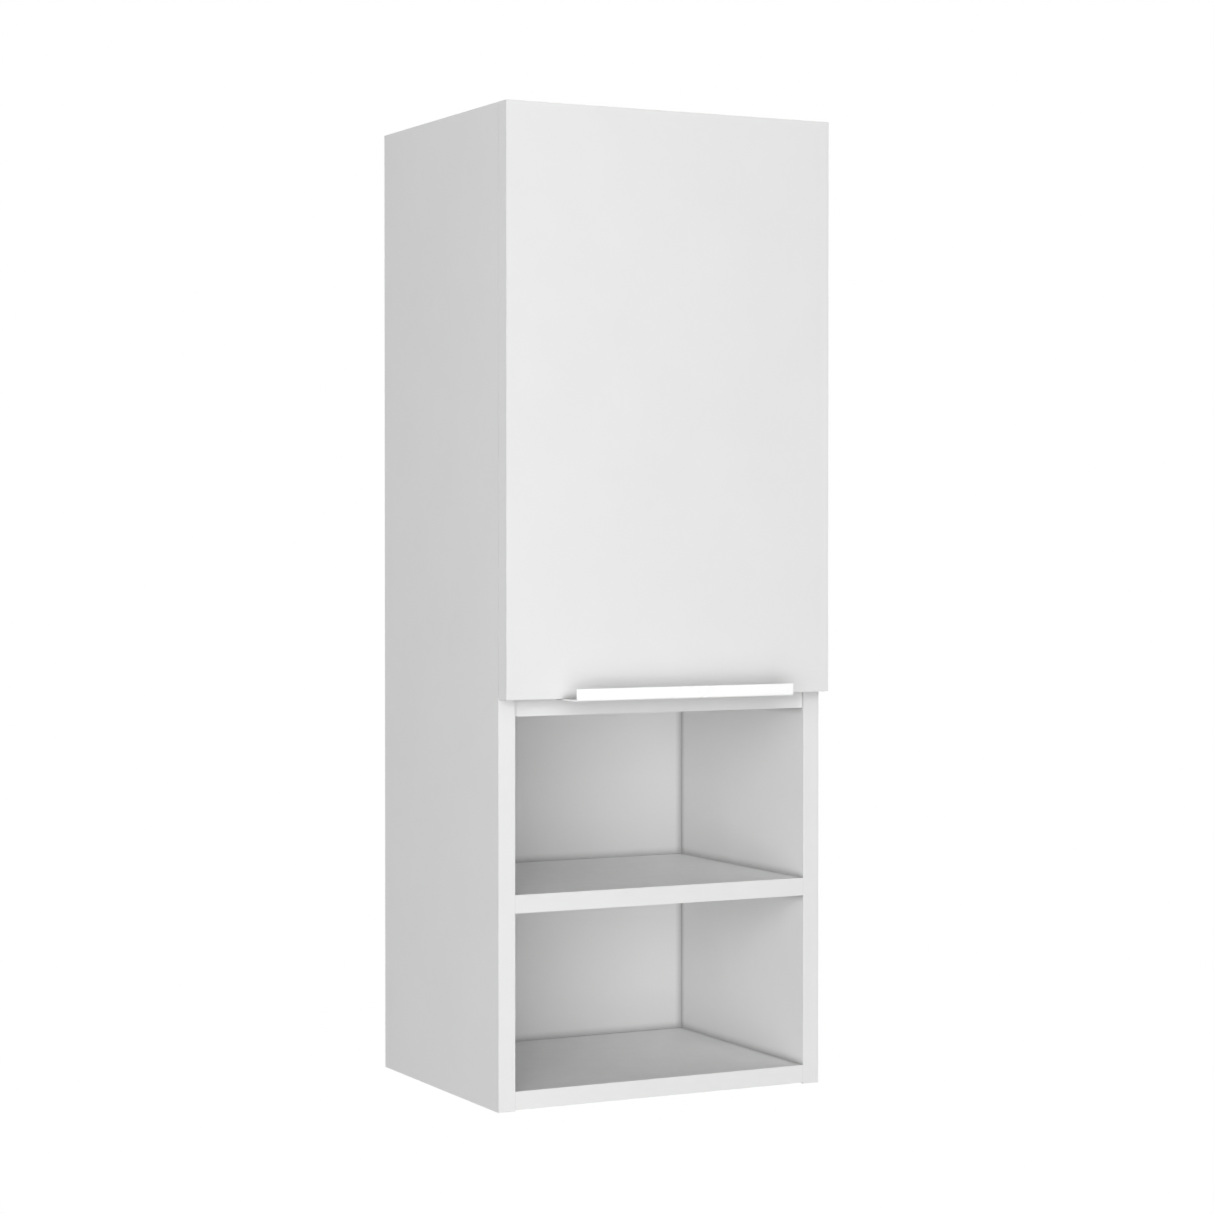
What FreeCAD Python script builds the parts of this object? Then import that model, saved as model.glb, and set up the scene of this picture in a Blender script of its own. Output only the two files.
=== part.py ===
"""Hanging wall cabinet: one side-hinged door over two open niches, made of 15 mm coated board.

Millimetres. X runs to the right, the front faces -Y, +Z is up, and the wall is the plane y = 0. The
origin is the middle of the two wall-screw holes, on the rear face of the hanging rail.
"""

import FreeCAD, Part
import os

import Sketcher

DRIVING_SIZES = [
    # carcass
    ("width", 300.0, "outside width"),
    ("height", 814.0, "height of the side panels"),
    ("depth", 235.0, "depth of the side panels"),
    ("board", 15.0, "thickness of the coated board"),
    ("bottom_raise", 1.0, "the bottom panel sits this far above the ends of the sides"),
    ("niche_height", 144.25, "clear height of each open niche"),
    ("divider_recess", 2.5, "front edge of the divider behind the front edges of the sides"),
    ("back_thickness", 2.5, "thin back board"),
    ("groove_play", 0.15, "play of the back board in its groove, each side"),
    ("groove_depth", 7.0, "depth of the groove for the back board"),
    ("back_entry", 6.5, "how far the back board stands in its groove"),
    ("rail_height", 70.0, "upper rear rail, which hangs on the wall screws"),
    ("lower_rail_height", 50.0, "lower rear rail"),
    ("wall_screw_spacing", 160.0, "between the two wall screws"),
    ("wall_screw_hole", 5.0, "diameter of a wall-screw hole"),
    # loose shelf behind the door
    ("shelf_level", 562.0, "underside of the loose shelf above the ends of the sides"),
    ("shelf_depth", 190.0, "loose shelf, front to back"),
    ("shelf_play", 0.5, "loose shelf to each side panel"),
    ("shelf_rear_gap", 1.0, "loose shelf to the back board"),
    ("pin_hole", 5.0, "diameter of a shelf-pin hole"),
    ("pin_hole_depth", 9.0, "depth of a shelf-pin hole"),
    ("pin_pitch", 32.0, "between shelf-pin heights"),
    ("pin_front_inset", 62.0, "front row of pin holes behind the front edge"),
    ("pin_rear_inset", 52.0, "rear row of pin holes in front of the rear edge"),
    ("pin_diameter", 4.9, "shelf pin"),
    ("pin_reach", 8.0, "shelf pin standing out of the side"),
    # cam fittings and dowels
    ("cam_diameter", 14.7, "cam lock"),
    ("cam_pocket", 15.0, "pocket for a cam lock"),
    ("cam_depth", 12.0, "height of a cam lock"),
    ("cam_pocket_depth", 12.3, "depth of a cam pocket"),
    ("cam_inset", 24.0, "cam centre from the end of its board"),
    ("cam_front", 37.0, "front cam behind the front edge"),
    ("cam_rear", 57.0, "rear cam in front of the rear edge"),
    ("cam_cross", 7.6, "length of the driver cross in a cam"),
    ("cam_cross_width", 1.5, "width of the driver cross in a cam"),
    ("cam_cross_depth", 2.4, "depth of the driver cross in a cam"),
    ("cam_channel", 7.4, "channel through a cam for its bolt"),
    ("bolt_bore", 8.0, "bore in the board's end for a cam bolt"),
    ("bolt_hole", 5.0, "hole in the side for a cam bolt's thread"),
    ("bolt_hole_depth", 11.0, "depth of that hole"),
    ("bolt_thread", 4.9, "cam bolt's thread"),
    ("bolt_thread_length", 10.5, "length of the thread"),
    ("bolt_shank", 6.0, "cam bolt's shank"),
    ("bolt_neck", 4.0, "cam bolt's neck, under its head"),
    ("bolt_head", 6.6, "cam bolt's head"),
    ("bolt_head_length", 3.0, "length of that head"),
    ("bolt_neck_length", 5.0, "length of that neck"),
    ("dowel_diameter", 7.9, "wood dowel"),
    ("dowel_hole", 8.1, "hole for a dowel"),
    ("dowel_in_side", 11.0, "dowel inside a side panel"),
    ("dowel_in_board", 18.0, "dowel inside the end of a board"),
    ("dowel_spacing", 32.0, "dowel from its cam"),
    ("bolt_head_play", 0.2, "cam bolt's head to the end of the cam's channel"),
    ("end_play", 0.5, "a dowel or pin stops this far short of the end of its hole"),
    ("overcut", 5.0, "a cut that has to clear a part runs this far past it"),
    # door and pull
    ("door_height", 480.0, "door"),
    ("door_gap", 0.5, "door to the front edges of the carcass"),
    ("pull_length", 200.0, "edge pull"),
    ("pull_leg", 1.0, "thickness of the pull's leg, under the door"),
    ("pull_lip", 1.2, "thickness of the pull's lip"),
    ("pull_height", 10.0, "pull from the underside of its leg to the top of its lip"),
    ("pull_reach", 27.0, "front of the lip ahead of the door's face"),
    ("pull_hold", 12.5, "leg under the door, from the door's face"),
    ("pull_bend", 1.6, "outside bend radius of the pull"),
    ("pull_screw_spacing", 150.0, "between the pull's screws"),
    ("pull_screw_inset", 7.5, "pull's screws behind the door's face"),
    ("pull_screw_thread", 3.0, "pull's screw"),
    ("pull_screw_grip", 15.0, "pull's screw inside the door"),
    ("pull_screw_head", 5.6, "head of the pull's screw"),
    ("pull_screw_head_height", 1.7, "height of that head"),
    ("pull_cross", 3.2, "length of its driver cross"),
    ("pull_cross_width", 0.8, "width of its driver cross"),
    ("pull_cross_depth", 1.1, "depth of its driver cross"),
    ("pilot_hole", 3.2, "hole in the door for a wood screw"),
    ("pull_pilot_depth", 16.5, "depth of that hole for the pull's screws"),
    ("ear_pilot_depth", 10.5, "depth of that hole for the cups' screws"),
    ("screw_clearance", 3.4, "hole in the pull or a cup's ear for its screw"),
    ("bumper_diameter", 8.0, "soft bumper on the door's rear face"),
    ("bumper_thickness", 0.4, "soft bumper, when the door rests on it"),
    ("bumper_inset", 28.0, "bumper from the door's upper or lower end"),
    # hinge cups, one 35 mm cup at each end of the door
    ("hinge_inset", 80.0, "cup centre from the door's end"),
    ("cup_edge", 22.0, "cup centre from the door's hinge edge"),
    ("cup_bore", 35.0, "bore in the door"),
    ("cup_bore_depth", 12.2, "depth of that bore"),
    ("cup_outer", 34.8, "outside of the cup"),
    ("cup_inner", 33.0, "inside of the cup"),
    ("cup_depth", 12.0, "cup from the door's rear face to its underside"),
    ("cup_floor", 0.8, "floor of the cup"),
    ("flange_thickness", 0.9, "flange on the door's rear face"),
    ("flange_start", 17.5, "flange starts this far from the door's edge"),
    ("flange_end", 38.5, "flange ends this far from the door's edge"),
    ("flange_half", 17.5, "half the flange's middle height"),
    ("ear_inset", 31.5, "cup screws from the door's edge"),
    ("ear_spacing", 48.0, "between the cup screws"),
    ("ear_radius", 6.2, "end radius of the flange's ears"),
    ("flange_corner", 4.0, "cut corners of the flange"),
    ("cup_screw_thread", 3.0, "cup's screw"),
    ("cup_screw_grip", 9.0, "cup's screw inside the door"),
    ("cup_screw_head", 6.4, "head of the cup's screw"),
    ("cup_screw_head_height", 1.3, "height of that head"),
    ("cup_cross", 3.4, "length of its driver cross"),
    ("cup_cross_width", 0.9, "width of its driver cross"),
    ("cup_cross_depth", 0.9, "depth of its driver cross"),
    # hinge linkage: inset is from the side's outer face, behind and ahead are from its front edge
    ("arm_pin_a_inset", 36.3, "outer link's pin on the arm"),
    ("arm_pin_a_behind", 8.2, "outer link's pin on the arm"),
    ("arm_pin_b_inset", 30.8, "inner link's pin on the arm"),
    ("arm_pin_b_behind", 3.2, "inner link's pin on the arm"),
    ("cup_pin_a_inset", 11.0, "outer link's pin in the cup"),
    ("cup_pin_a_ahead", 3.2, "outer link's pin in the cup"),
    ("cup_pin_b_inset", 11.0, "inner link's pin in the cup"),
    ("cup_pin_b_ahead", 7.4, "inner link's pin in the cup"),
    ("pin_radius", 1.25, "hinge pins"),
    ("pin_play", 0.05, "running clearance of the links on their pins"),
    ("pin_fit", 0.04, "the pins' holes in the arm and the cup are this much wider"),
    ("cup_pin_length", 25.0, "inner link's pin across the cup"),
    ("link_side_gap", 0.3, "inner link's sides to the outer link's stub pins"),
    ("arm_pin_stand", 0.4, "pins stand out of the arm's cheeks"),
    ("outer_knee_a_inset", 34.0, "outer link's first knee"),
    ("outer_knee_a_ahead", 0.0, "outer link's first knee"),
    ("outer_knee_b_inset", 17.5, "outer link's second knee"),
    ("outer_knee_b_ahead", 5.4, "outer link's second knee"),
    ("outer_half_width", 1.9, "half the outer link's width"),
    ("outer_eye_arm", 2.9, "outer link's eye on the arm"),
    ("outer_eye_cup", 2.3, "outer link's eye in the cup"),
    ("outer_half_height", 5.7, "outside of the outer link's cheeks from its middle"),
    ("outer_cheek", 1.2, "thickness of a cheek"),
    ("outer_bridge_half", 0.8, "half the thickness of the bridge between the cheeks"),
    ("outer_bridge_start", 0.42, "start of that bridge, as a share of the first straight"),
    ("outer_bridge_inset", 0.2, "bridge's ends behind the cheeks' outside"),
    ("inner_knee_a_inset", 28.0, "inner link's first knee"),
    ("inner_knee_a_ahead", 5.0, "inner link's first knee"),
    ("inner_knee_b_inset", 20.0, "inner link's second knee"),
    ("inner_knee_b_ahead", 9.5, "inner link's second knee"),
    ("inner_half_width", 1.2, "half the inner link's thickness"),
    ("inner_eye_arm", 2.6, "inner link's eye on the arm"),
    ("inner_eye_wall", 0.9, "wall of the inner link around its slot"),
    ("inner_half_height", 3.9, "half the inner link's height"),
    ("slot_near_inset", 11.1, "near end of the inner link's slot"),
    ("slot_near_ahead", 7.57, "near end of the inner link's slot"),
    ("slot_far_inset", 9.28, "far end of the inner link's slot"),
    ("slot_far_ahead", 8.54, "far end of the inner link's slot"),
    ("slot_play", 0.27, "sideways play of the cup pin in that slot"),
    # hinge arm and mounting plate
    ("arm_half_height", 7.2, "outside of the arm's cheeks from its middle"),
    ("arm_sheet", 1.2, "sheet thickness of the arm"),
    ("arm_eye", 3.1, "radius of the arm's nose around its pins"),
    ("arm_low", 19.0, "arm's lower edge from the side's outer face"),
    ("arm_high", 31.2, "arm's back from the side's outer face"),
    ("arm_nose_high", 40.8, "arm's nose from the side's outer face"),
    ("arm_rear", 66.0, "rear end of the arm behind the front edge"),
    ("arm_step_rear", 36.0, "rear of the step to the arm's nose behind the front edge"),
    ("arm_step_front", 17.0, "front of that step"),
    ("arm_nose_front", 9.4, "front of the nose's back behind the front edge"),
    ("arm_lip_a", 7.0, "cheek's edge at the outer link's pin behind the front edge"),
    ("arm_lip_b", 2.0, "cheek's edge at the inner link's pin behind the front edge"),
    ("arm_throat", 2.6, "cheek's lower corner from the inner link's pin"),
    ("arm_throat_behind", 4.0, "that corner behind the front edge"),
    ("arm_chin", 25.5, "cheek's chin from the side's outer face"),
    ("arm_chin_behind", 12.0, "that chin behind the front edge"),
    ("arm_low_front", 24.0, "front of the cheek's lower edge behind the front edge"),
    ("plate_middle", 37.0, "plate screws behind the front edge"),
    ("plate_screw_spacing", 32.0, "between the plate screws"),
    ("plate_thickness", 2.0, "base of the mounting plate"),
    ("plate_wing_radius", 6.5, "end radius of the plate's wings"),
    ("plate_half_height", 7.0, "half the height of the plate's long web"),
    ("plate_front", 22.0, "front end of the plate behind the front edge"),
    ("plate_rear", 62.0, "rear end of the plate behind the front edge"),
    ("block_half_height", 5.6, "half the height of the plate's block"),
    ("block_front", 38.0, "front end of the block behind the front edge"),
    ("block_rear", 60.0, "rear end of the block behind the front edge"),
    ("fixing_screw_front", 42.0, "front arm screw behind the front edge"),
    ("fixing_screw_rear", 55.0, "rear arm screw behind the front edge"),
    ("fixing_hole", 3.8, "hole in the arm for its screw"),
    ("fixing_tap", 3.4, "tapped hole in the plate's block"),
    ("fixing_tap_depth", 13.0, "depth of that hole from the arm's back"),
    ("fixing_thread", 3.3, "arm screw"),
    ("fixing_grip", 11.0, "arm screw below the arm's back"),
    ("fixing_head", 7.0, "arm screw's head"),
    ("fixing_cross", 4.2, "length of its driver cross"),
    ("plate_screw_hole", 5.2, "hole in the plate for a system screw"),
    ("plate_screw_thread", 4.9, "system screw"),
    ("plate_screw_grip", 10.0, "system screw inside the side panel"),
    ("plate_screw_head", 7.6, "system screw's head"),
    ("plate_cross", 4.4, "length of its driver cross"),
    ("hinge_head_height", 2.0, "height of the arm's and the plate's screw heads"),
    ("hinge_cross_width", 1.1, "width of the driver crosses in those heads"),
    ("hinge_cross_depth", 1.3, "depth of the driver crosses in those heads"),
]

doc = FreeCAD.newDocument("hanging_wall_cabinet")
nodes = []

# Derived places, as expressions over the sheet. Heights are above the lower ends of the sides.
INNER_HALF = "(sizes.width / 2 - sizes.board)"
BOTTOM_LOW = "sizes.bottom_raise"
NICHE_SHELF_LOW = "(sizes.bottom_raise + sizes.board + sizes.niche_height)"
DIVIDER_LOW = "(sizes.bottom_raise + 2 * sizes.board + 2 * sizes.niche_height)"
TOP_LOW = "(sizes.height - sizes.board)"
RAIL_LOW = "(sizes.height - sizes.board - sizes.rail_height)"
LOWER_RAIL_LOW = "(sizes.bottom_raise + sizes.board)"
DOOR_LOW = "(sizes.height - sizes.door_height)"
HANG_LEVEL = "(sizes.height - sizes.board - sizes.rail_height / 2)"
BACK_FRONT = "(sizes.board + sizes.back_thickness)"
DOOR_REAR = "(sizes.depth + sizes.door_gap)"
DOOR_FACE = "(sizes.depth + sizes.door_gap + sizes.board)"
HINGE_LEVELS = {
    "lower": f"({DOOR_LOW} + sizes.hinge_inset)",
    "upper": "(sizes.height - sizes.hinge_inset)",
}
RAIL_BOLT_SHARE = 0.3
RAIL_DOWEL_SHARE = 0.7
THREE_HEIGHTS = (-1, 0, 1)


def fill_sheet():
    """Put every driving size in the spreadsheet: name, plain number, meaning."""
    sheet = doc.addObject("Spreadsheet::Sheet", "sizes")
    for row, (alias, value, meaning) in enumerate(DRIVING_SIZES, start=1):
        sheet.set(f"A{row}", alias)
        sheet.set(f"B{row}", repr(value))
        sheet.setAlias(f"B{row}", alias)
        sheet.set(f"C{row}", meaning)
    doc.recompute()
    return sheet


sizes = fill_sheet()


def number(expression):
    """Value of an expression over the sheet."""
    return float(sizes.evalExpression(str(expression)))


# ---- bodies and sketches

def new_body(name, across="0", back="0", up="0"):
    """Body that becomes a node, placed by expressions; up is above the lower ends of the sides."""
    body = doc.addObject("PartDesign::Body", name)
    body.Label = name
    body.setExpression(".Placement.Base.x", str(across))
    body.setExpression(".Placement.Base.y", str(back))
    body.setExpression(".Placement.Base.z", f"{up} - {HANG_LEVEL}")
    nodes.append(body)
    return body


def origin_plane(body, role):
    """One of the body's own origin planes."""
    return next(item for item in body.Origin.OriginFeatures if item.Role == role)


def new_sketch(body, plane="XY_Plane", lift="0"):
    """Sketch on an origin plane, lifted along the plane's normal."""
    sketch = body.newObject("Sketcher::SketchObject", f"{body.Name}_sketch")
    sketch.AttachmentSupport = [(origin_plane(body, plane), "")]
    sketch.MapMode = "FlatFace"
    sketch.setExpression(".AttachmentOffset.Base.z", str(lift))
    return sketch


def bind_distance(sketch, kind, geometry, point, expression):
    """Hold one coordinate of a sketch point at an expression."""
    value = number(expression)
    if abs(value) < 1e-9:
        axis = -2 if kind == "DistanceX" else -1
        sketch.addConstraint(Sketcher.Constraint("PointOnObject", geometry, point, axis))
        return
    index = sketch.addConstraint(Sketcher.Constraint(kind, -1, 1, geometry, point, value))
    sketch.setExpression(f"Constraints[{index}]", str(expression))


def bind_point(sketch, geometry, point, across, up):
    """Hold a sketch point at two expressions."""
    bind_distance(sketch, "DistanceX", geometry, point, across)
    bind_distance(sketch, "DistanceY", geometry, point, up)


def draw_outline(sketch, corners):
    """Closed outline of straight lines through corners given as pairs of expressions."""
    points = [FreeCAD.Vector(number(x), number(y), 0) for x, y in corners]
    first = sketch.GeometryCount
    count = len(points)
    for index in range(count):
        line = Part.LineSegment(points[index], points[(index + 1) % count])
        sketch.addGeometry(line, False)
    for index in range(count):
        following = first + (index + 1) % count
        sketch.addConstraint(Sketcher.Constraint("Coincident", first + index, 2, following, 1))
    for index, (x, y) in enumerate(corners):
        bind_point(sketch, first + index, 1, x, y)


def draw_rectangle(sketch, left, low, right, high):
    """Rectangle between two corners."""
    draw_outline(sketch, [(left, low), (right, low), (right, high), (left, high)])


def draw_circle(sketch, across, up, diameter):
    """Circle with its centre and diameter held at expressions."""
    centre = FreeCAD.Vector(number(across), number(up), 0)
    radius = number(diameter) / 2
    circle = Part.Circle(centre, FreeCAD.Vector(0, 0, 1), radius)
    geometry = sketch.addGeometry(circle, False)
    bind_point(sketch, geometry, 3, across, up)
    index = sketch.addConstraint(Sketcher.Constraint("Diameter", geometry, 2 * radius))
    sketch.setExpression(f"Constraints[{index}]", str(diameter))


def draw_capsule(sketch, start, end, radius):
    """Slot outline: two half circles of one radius joined by tangent lines."""
    a = FreeCAD.Vector(number(start[0]), number(start[1]), 0)
    b = FreeCAD.Vector(number(end[0]), number(end[1]), 0)
    size = number(radius)
    heading = (b - a).getAngle(FreeCAD.Vector(1, 0, 0))
    if b.y < a.y:
        heading = -heading
    up = FreeCAD.Vector(0, 0, 1)
    quarter = FreeCAD.Units.Quantity("90 deg").getValueAs("rad").Value
    side = FreeCAD.Vector(a.y - b.y, b.x - a.x, 0)
    side.normalize()
    side.multiply(size)
    near = Part.ArcOfCircle(Part.Circle(a, up, size), heading + quarter, heading + 3 * quarter)
    far = Part.ArcOfCircle(Part.Circle(b, up, size), heading - quarter, heading + quarter)
    near_arc = sketch.addGeometry(near, False)
    low_line = sketch.addGeometry(Part.LineSegment(a - side, b - side), False)
    far_arc = sketch.addGeometry(far, False)
    high_line = sketch.addGeometry(Part.LineSegment(b + side, a + side), False)
    ring = [(near_arc, 2, low_line, 1), (low_line, 2, far_arc, 1),
            (far_arc, 2, high_line, 1), (high_line, 2, near_arc, 1)]
    for joint in ring:
        sketch.addConstraint(Sketcher.Constraint("Tangent", *joint))
    sketch.addConstraint(Sketcher.Constraint("Equal", near_arc, far_arc))
    bind_point(sketch, near_arc, 3, *start)
    bind_point(sketch, far_arc, 3, *end)
    index = sketch.addConstraint(Sketcher.Constraint("Radius", near_arc, size))
    sketch.setExpression(f"Constraints[{index}]", str(radius))


def draw_cross(sketch, across, up, length, width):
    """Driver cross: twelve corners around a centre."""
    arm = f"({length}) / 2"
    half = f"({width}) / 2"
    steps = [(half, half), (half, arm), (f"-{half}", arm), (f"-{half}", half), (f"-{arm}", half),
             (f"-{arm}", f"-{half}"), (f"-{half}", f"-{half}"), (f"-{half}", f"-{arm}"),
             (half, f"-{arm}"), (half, f"-{half}"), (arm, f"-{half}"), (arm, half)]
    draw_outline(sketch, [(f"{across} + {x}", f"{up} + {y}") for x, y in steps])


# ---- features

def pad(body, sketch, length, reverse=False, middle=False):
    """Pad a sketch along its normal, against it, or both ways from its plane."""
    feature = body.newObject("PartDesign::Pad", f"{body.Name}_pad")
    feature.Profile = sketch
    feature.setExpression("Length", str(length))
    feature.Reversed = reverse
    feature.Midplane = middle
    sketch.Visibility = False
    return feature


def pocket(body, sketch, length, along_normal=False, middle=False):
    """Pocket against the sketch's normal, along it, or both ways from its plane."""
    doc.recompute()
    before = body.Shape.Volume
    feature = body.newObject("PartDesign::Pocket", f"{body.Name}_pocket")
    feature.Profile = sketch
    feature.setExpression("Length", str(length))
    feature.Reversed = along_normal
    feature.Midplane = middle
    sketch.Visibility = False
    doc.recompute()
    if body.Shape.Volume >= before - 1e-6:
        raise ValueError(f"{feature.Name} in {body.Label} cuts nothing")
    return feature


def mirror(body, features, plane="YZ_Plane"):
    """Repeat features on the other side of an origin plane."""
    copy = body.newObject("PartDesign::Mirrored", f"{body.Name}_mirrored")
    copy.Originals = features
    copy.MirrorPlane = (origin_plane(body, plane), [""])
    body.Tip = copy
    return copy


def box(body, left, low, right, high, length, lift="0"):
    """Pad of a rectangle on the XY plane."""
    sketch = new_sketch(body, "XY_Plane", lift)
    draw_rectangle(sketch, left, low, right, high)
    return pad(body, sketch, length)


def holes(body, plane, lift, centres, diameter, depth, along_normal=False):
    """One pocket with a round hole at each centre."""
    sketch = new_sketch(body, plane, lift)
    for across, up in centres:
        draw_circle(sketch, across, up, diameter)
    return pocket(body, sketch, depth, along_normal)


def rods(body, plane, lift, centres, diameter, length, reverse=False):
    """One pad with a round rod at each centre."""
    sketch = new_sketch(body, plane, lift)
    for across, up in centres:
        draw_circle(sketch, across, up, diameter)
    return pad(body, sketch, length, reverse)


# ---- places of the fittings

def fitting_depths():
    """Front-to-back places of the two cams and the two dowels of a board's end."""
    front_cam = "-(sizes.depth - sizes.cam_front)"
    rear_cam = "-sizes.cam_rear"
    front_dowel = "-(sizes.depth - sizes.cam_front - sizes.dowel_spacing)"
    rear_dowel = "-(sizes.cam_rear + sizes.dowel_spacing)"
    return [front_cam, rear_cam], [front_dowel, rear_dowel]


# Each level board: lower face, and whether its cams are in its upper face.
BOARDS = {
    "bottom_panel": (BOTTOM_LOW, False),
    "niche_shelf": (NICHE_SHELF_LOW, False),
    "divider_panel": (DIVIDER_LOW, True),
    "top_panel": (TOP_LOW, True),
}
RAILS = {
    "hanging_rail": (RAIL_LOW, "sizes.rail_height"),
    "lower_rail": (LOWER_RAIL_LOW, "sizes.lower_rail_height"),
}
RAIL_MIDDLE = "-sizes.board / 2"
DOWEL_BORE_DEPTH = "sizes.dowel_in_board + 2 * sizes.end_play"


def bolt_places():
    """Every cam bolt as depth and height on the inner face of a side panel."""
    cams, _ = fitting_depths()
    places = [(y, f"{low} + sizes.board / 2") for low, _ in BOARDS.values() for y in cams]
    for low, tall in RAILS.values():
        places.append((RAIL_MIDDLE, f"{low} + {tall} * {RAIL_BOLT_SHARE}"))
    return places


def dowel_places():
    """Every dowel as depth and height on the inner face of a side panel."""
    _, dowels = fitting_depths()
    places = [(y, f"{low} + sizes.board / 2") for low, _ in BOARDS.values() for y in dowels]
    for low, tall in RAILS.values():
        places.append((RAIL_MIDDLE, f"{low} + {tall} * {RAIL_DOWEL_SHARE}"))
    return places


def pin_depths():
    """Front and rear rows of shelf-pin holes."""
    return ["-(sizes.depth - sizes.pin_front_inset)", "-sizes.pin_rear_inset"]


PIN_LEVEL = "(sizes.shelf_level - sizes.pin_diameter / 2)"


# ---- boards

def side_panel(name, right):
    """Side panel; x = 0 is its inner face. Groove, cam-bolt, dowel, pin and plate holes inside."""
    sign = "" if right else "-"
    body = new_body(name, f"{sign}{INNER_HALF}")
    near, far = ("0", "sizes.board") if right else ("-sizes.board", "0")
    box(body, near, "-sizes.depth", far, "0", "sizes.height")
    groove = new_sketch(body, "YZ_Plane")
    draw_rectangle(groove, f"-({BACK_FRONT} + sizes.groove_play)", "0",
                   "-(sizes.board - sizes.groove_play)", "sizes.height")
    pocket(body, groove, "sizes.groove_depth", right)
    holes(body, "YZ_Plane", "0", bolt_places(), "sizes.bolt_hole", "sizes.bolt_hole_depth", right)
    holes(body, "YZ_Plane", "0", dowel_places(), "sizes.dowel_hole",
          "sizes.dowel_in_side + sizes.end_play", right)
    pins = [(y, f"{PIN_LEVEL} + {step} * sizes.pin_pitch")
            for y in pin_depths() for step in THREE_HEIGHTS]
    holes(body, "YZ_Plane", "0", pins, "sizes.pin_hole", "sizes.pin_hole_depth", right)
    if right:
        plate_y = "-(sizes.depth - sizes.plate_middle)"
        plates = [(plate_y, f"{level} {way} sizes.plate_screw_spacing / 2")
                  for level in HINGE_LEVELS.values() for way in "-+"]
        holes(body, "YZ_Plane", "0", plates, "sizes.bolt_hole", "sizes.bolt_hole_depth", right)
    return body


def level_board(name, front, rear, groove_face=None):
    """Level board between the sides, bored at both ends for cam bolts, cams and dowels."""
    low, cams_above = BOARDS[name]
    body = new_body(name, "0", "0", low)
    box(body, f"-{INNER_HALF}", front, INNER_HALF, rear, "sizes.board")
    if groove_face:
        lift = "sizes.board" if groove_face == "above" else "0"
        groove = new_sketch(body, "XY_Plane", lift)
        draw_rectangle(groove, f"-{INNER_HALF}", f"-({BACK_FRONT} + sizes.groove_play)",
                       INNER_HALF, "-(sizes.board - sizes.groove_play)")
        pocket(body, groove, "sizes.groove_depth", groove_face == "below")
    cams, dowels = fitting_depths()
    middle = "sizes.board / 2"
    bolt_bores = holes(body, "YZ_Plane", f"-{INNER_HALF}", [(y, middle) for y in cams],
                       "sizes.bolt_bore", "sizes.cam_inset", True)
    dowel_bores = holes(body, "YZ_Plane", f"-{INNER_HALF}", [(y, middle) for y in dowels],
                        "sizes.dowel_hole", DOWEL_BORE_DEPTH, True)
    pockets = holes(body, "XY_Plane", "sizes.board" if cams_above else "0",
                    [(f"-{INNER_HALF} + sizes.cam_inset", y) for y in cams],
                    "sizes.cam_pocket", "sizes.cam_pocket_depth", not cams_above)
    mirror(body, [bolt_bores, dowel_bores, pockets])
    return body


def rear_rail(name, wall_screws):
    """Upright rail at the rear, flush with the sides' rear edges; its cams face the wall."""
    low, tall = RAILS[name]
    body = new_body(name, "0", "0", low)
    box(body, f"-{INNER_HALF}", "-sizes.board", INNER_HALF, "0", tall)
    cuts = [
        holes(body, "YZ_Plane", f"-{INNER_HALF}", [(RAIL_MIDDLE, f"{tall} * {RAIL_BOLT_SHARE}")],
              "sizes.bolt_bore", "sizes.cam_inset", True),
        holes(body, "YZ_Plane", f"-{INNER_HALF}", [(RAIL_MIDDLE, f"{tall} * {RAIL_DOWEL_SHARE}")],
              "sizes.dowel_hole", DOWEL_BORE_DEPTH, True),
        holes(body, "XZ_Plane", "0",
              [(f"-{INNER_HALF} + sizes.cam_inset", f"{tall} * {RAIL_BOLT_SHARE}")],
              "sizes.cam_pocket", "sizes.cam_pocket_depth", True),
    ]
    if wall_screws:
        wall_screw = ("-sizes.wall_screw_spacing / 2", f"{tall} / 2")
        cuts.append(holes(body, "XZ_Plane", "0", [wall_screw], "sizes.wall_screw_hole",
                          "sizes.board", True))
    mirror(body, cuts)
    return body


def back_panel():
    """Thin back board in the grooves of the sides, the top and the bottom."""
    low = "(sizes.bottom_raise + sizes.board - sizes.back_entry)"
    tall = f"{TOP_LOW} + sizes.back_entry - {low}"
    reach = f"({INNER_HALF} + sizes.back_entry)"
    body = new_body("back_panel", "0", "-sizes.board", low)
    box(body, f"-{reach}", "-sizes.back_thickness", reach, "0", tall)
    wall_screw = ("-sizes.wall_screw_spacing / 2", f"{HANG_LEVEL} - {low}")
    hole = holes(body, "XZ_Plane", "0", [wall_screw], "sizes.wall_screw_hole",
                 "sizes.back_thickness", True)
    mirror(body, [hole])
    return body


def inner_shelf():
    """Loose shelf on four pins behind the door."""
    body = new_body("inner_shelf", "0", f"-({BACK_FRONT} + sizes.shelf_rear_gap)", "sizes.shelf_level")
    reach = f"({INNER_HALF} - sizes.shelf_play)"
    box(body, f"-{reach}", "-sizes.shelf_depth", reach, "0", "sizes.board")
    return body


PULL_SCREW_X = ("-sizes.pull_screw_spacing / 2", "sizes.pull_screw_spacing / 2")


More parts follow.
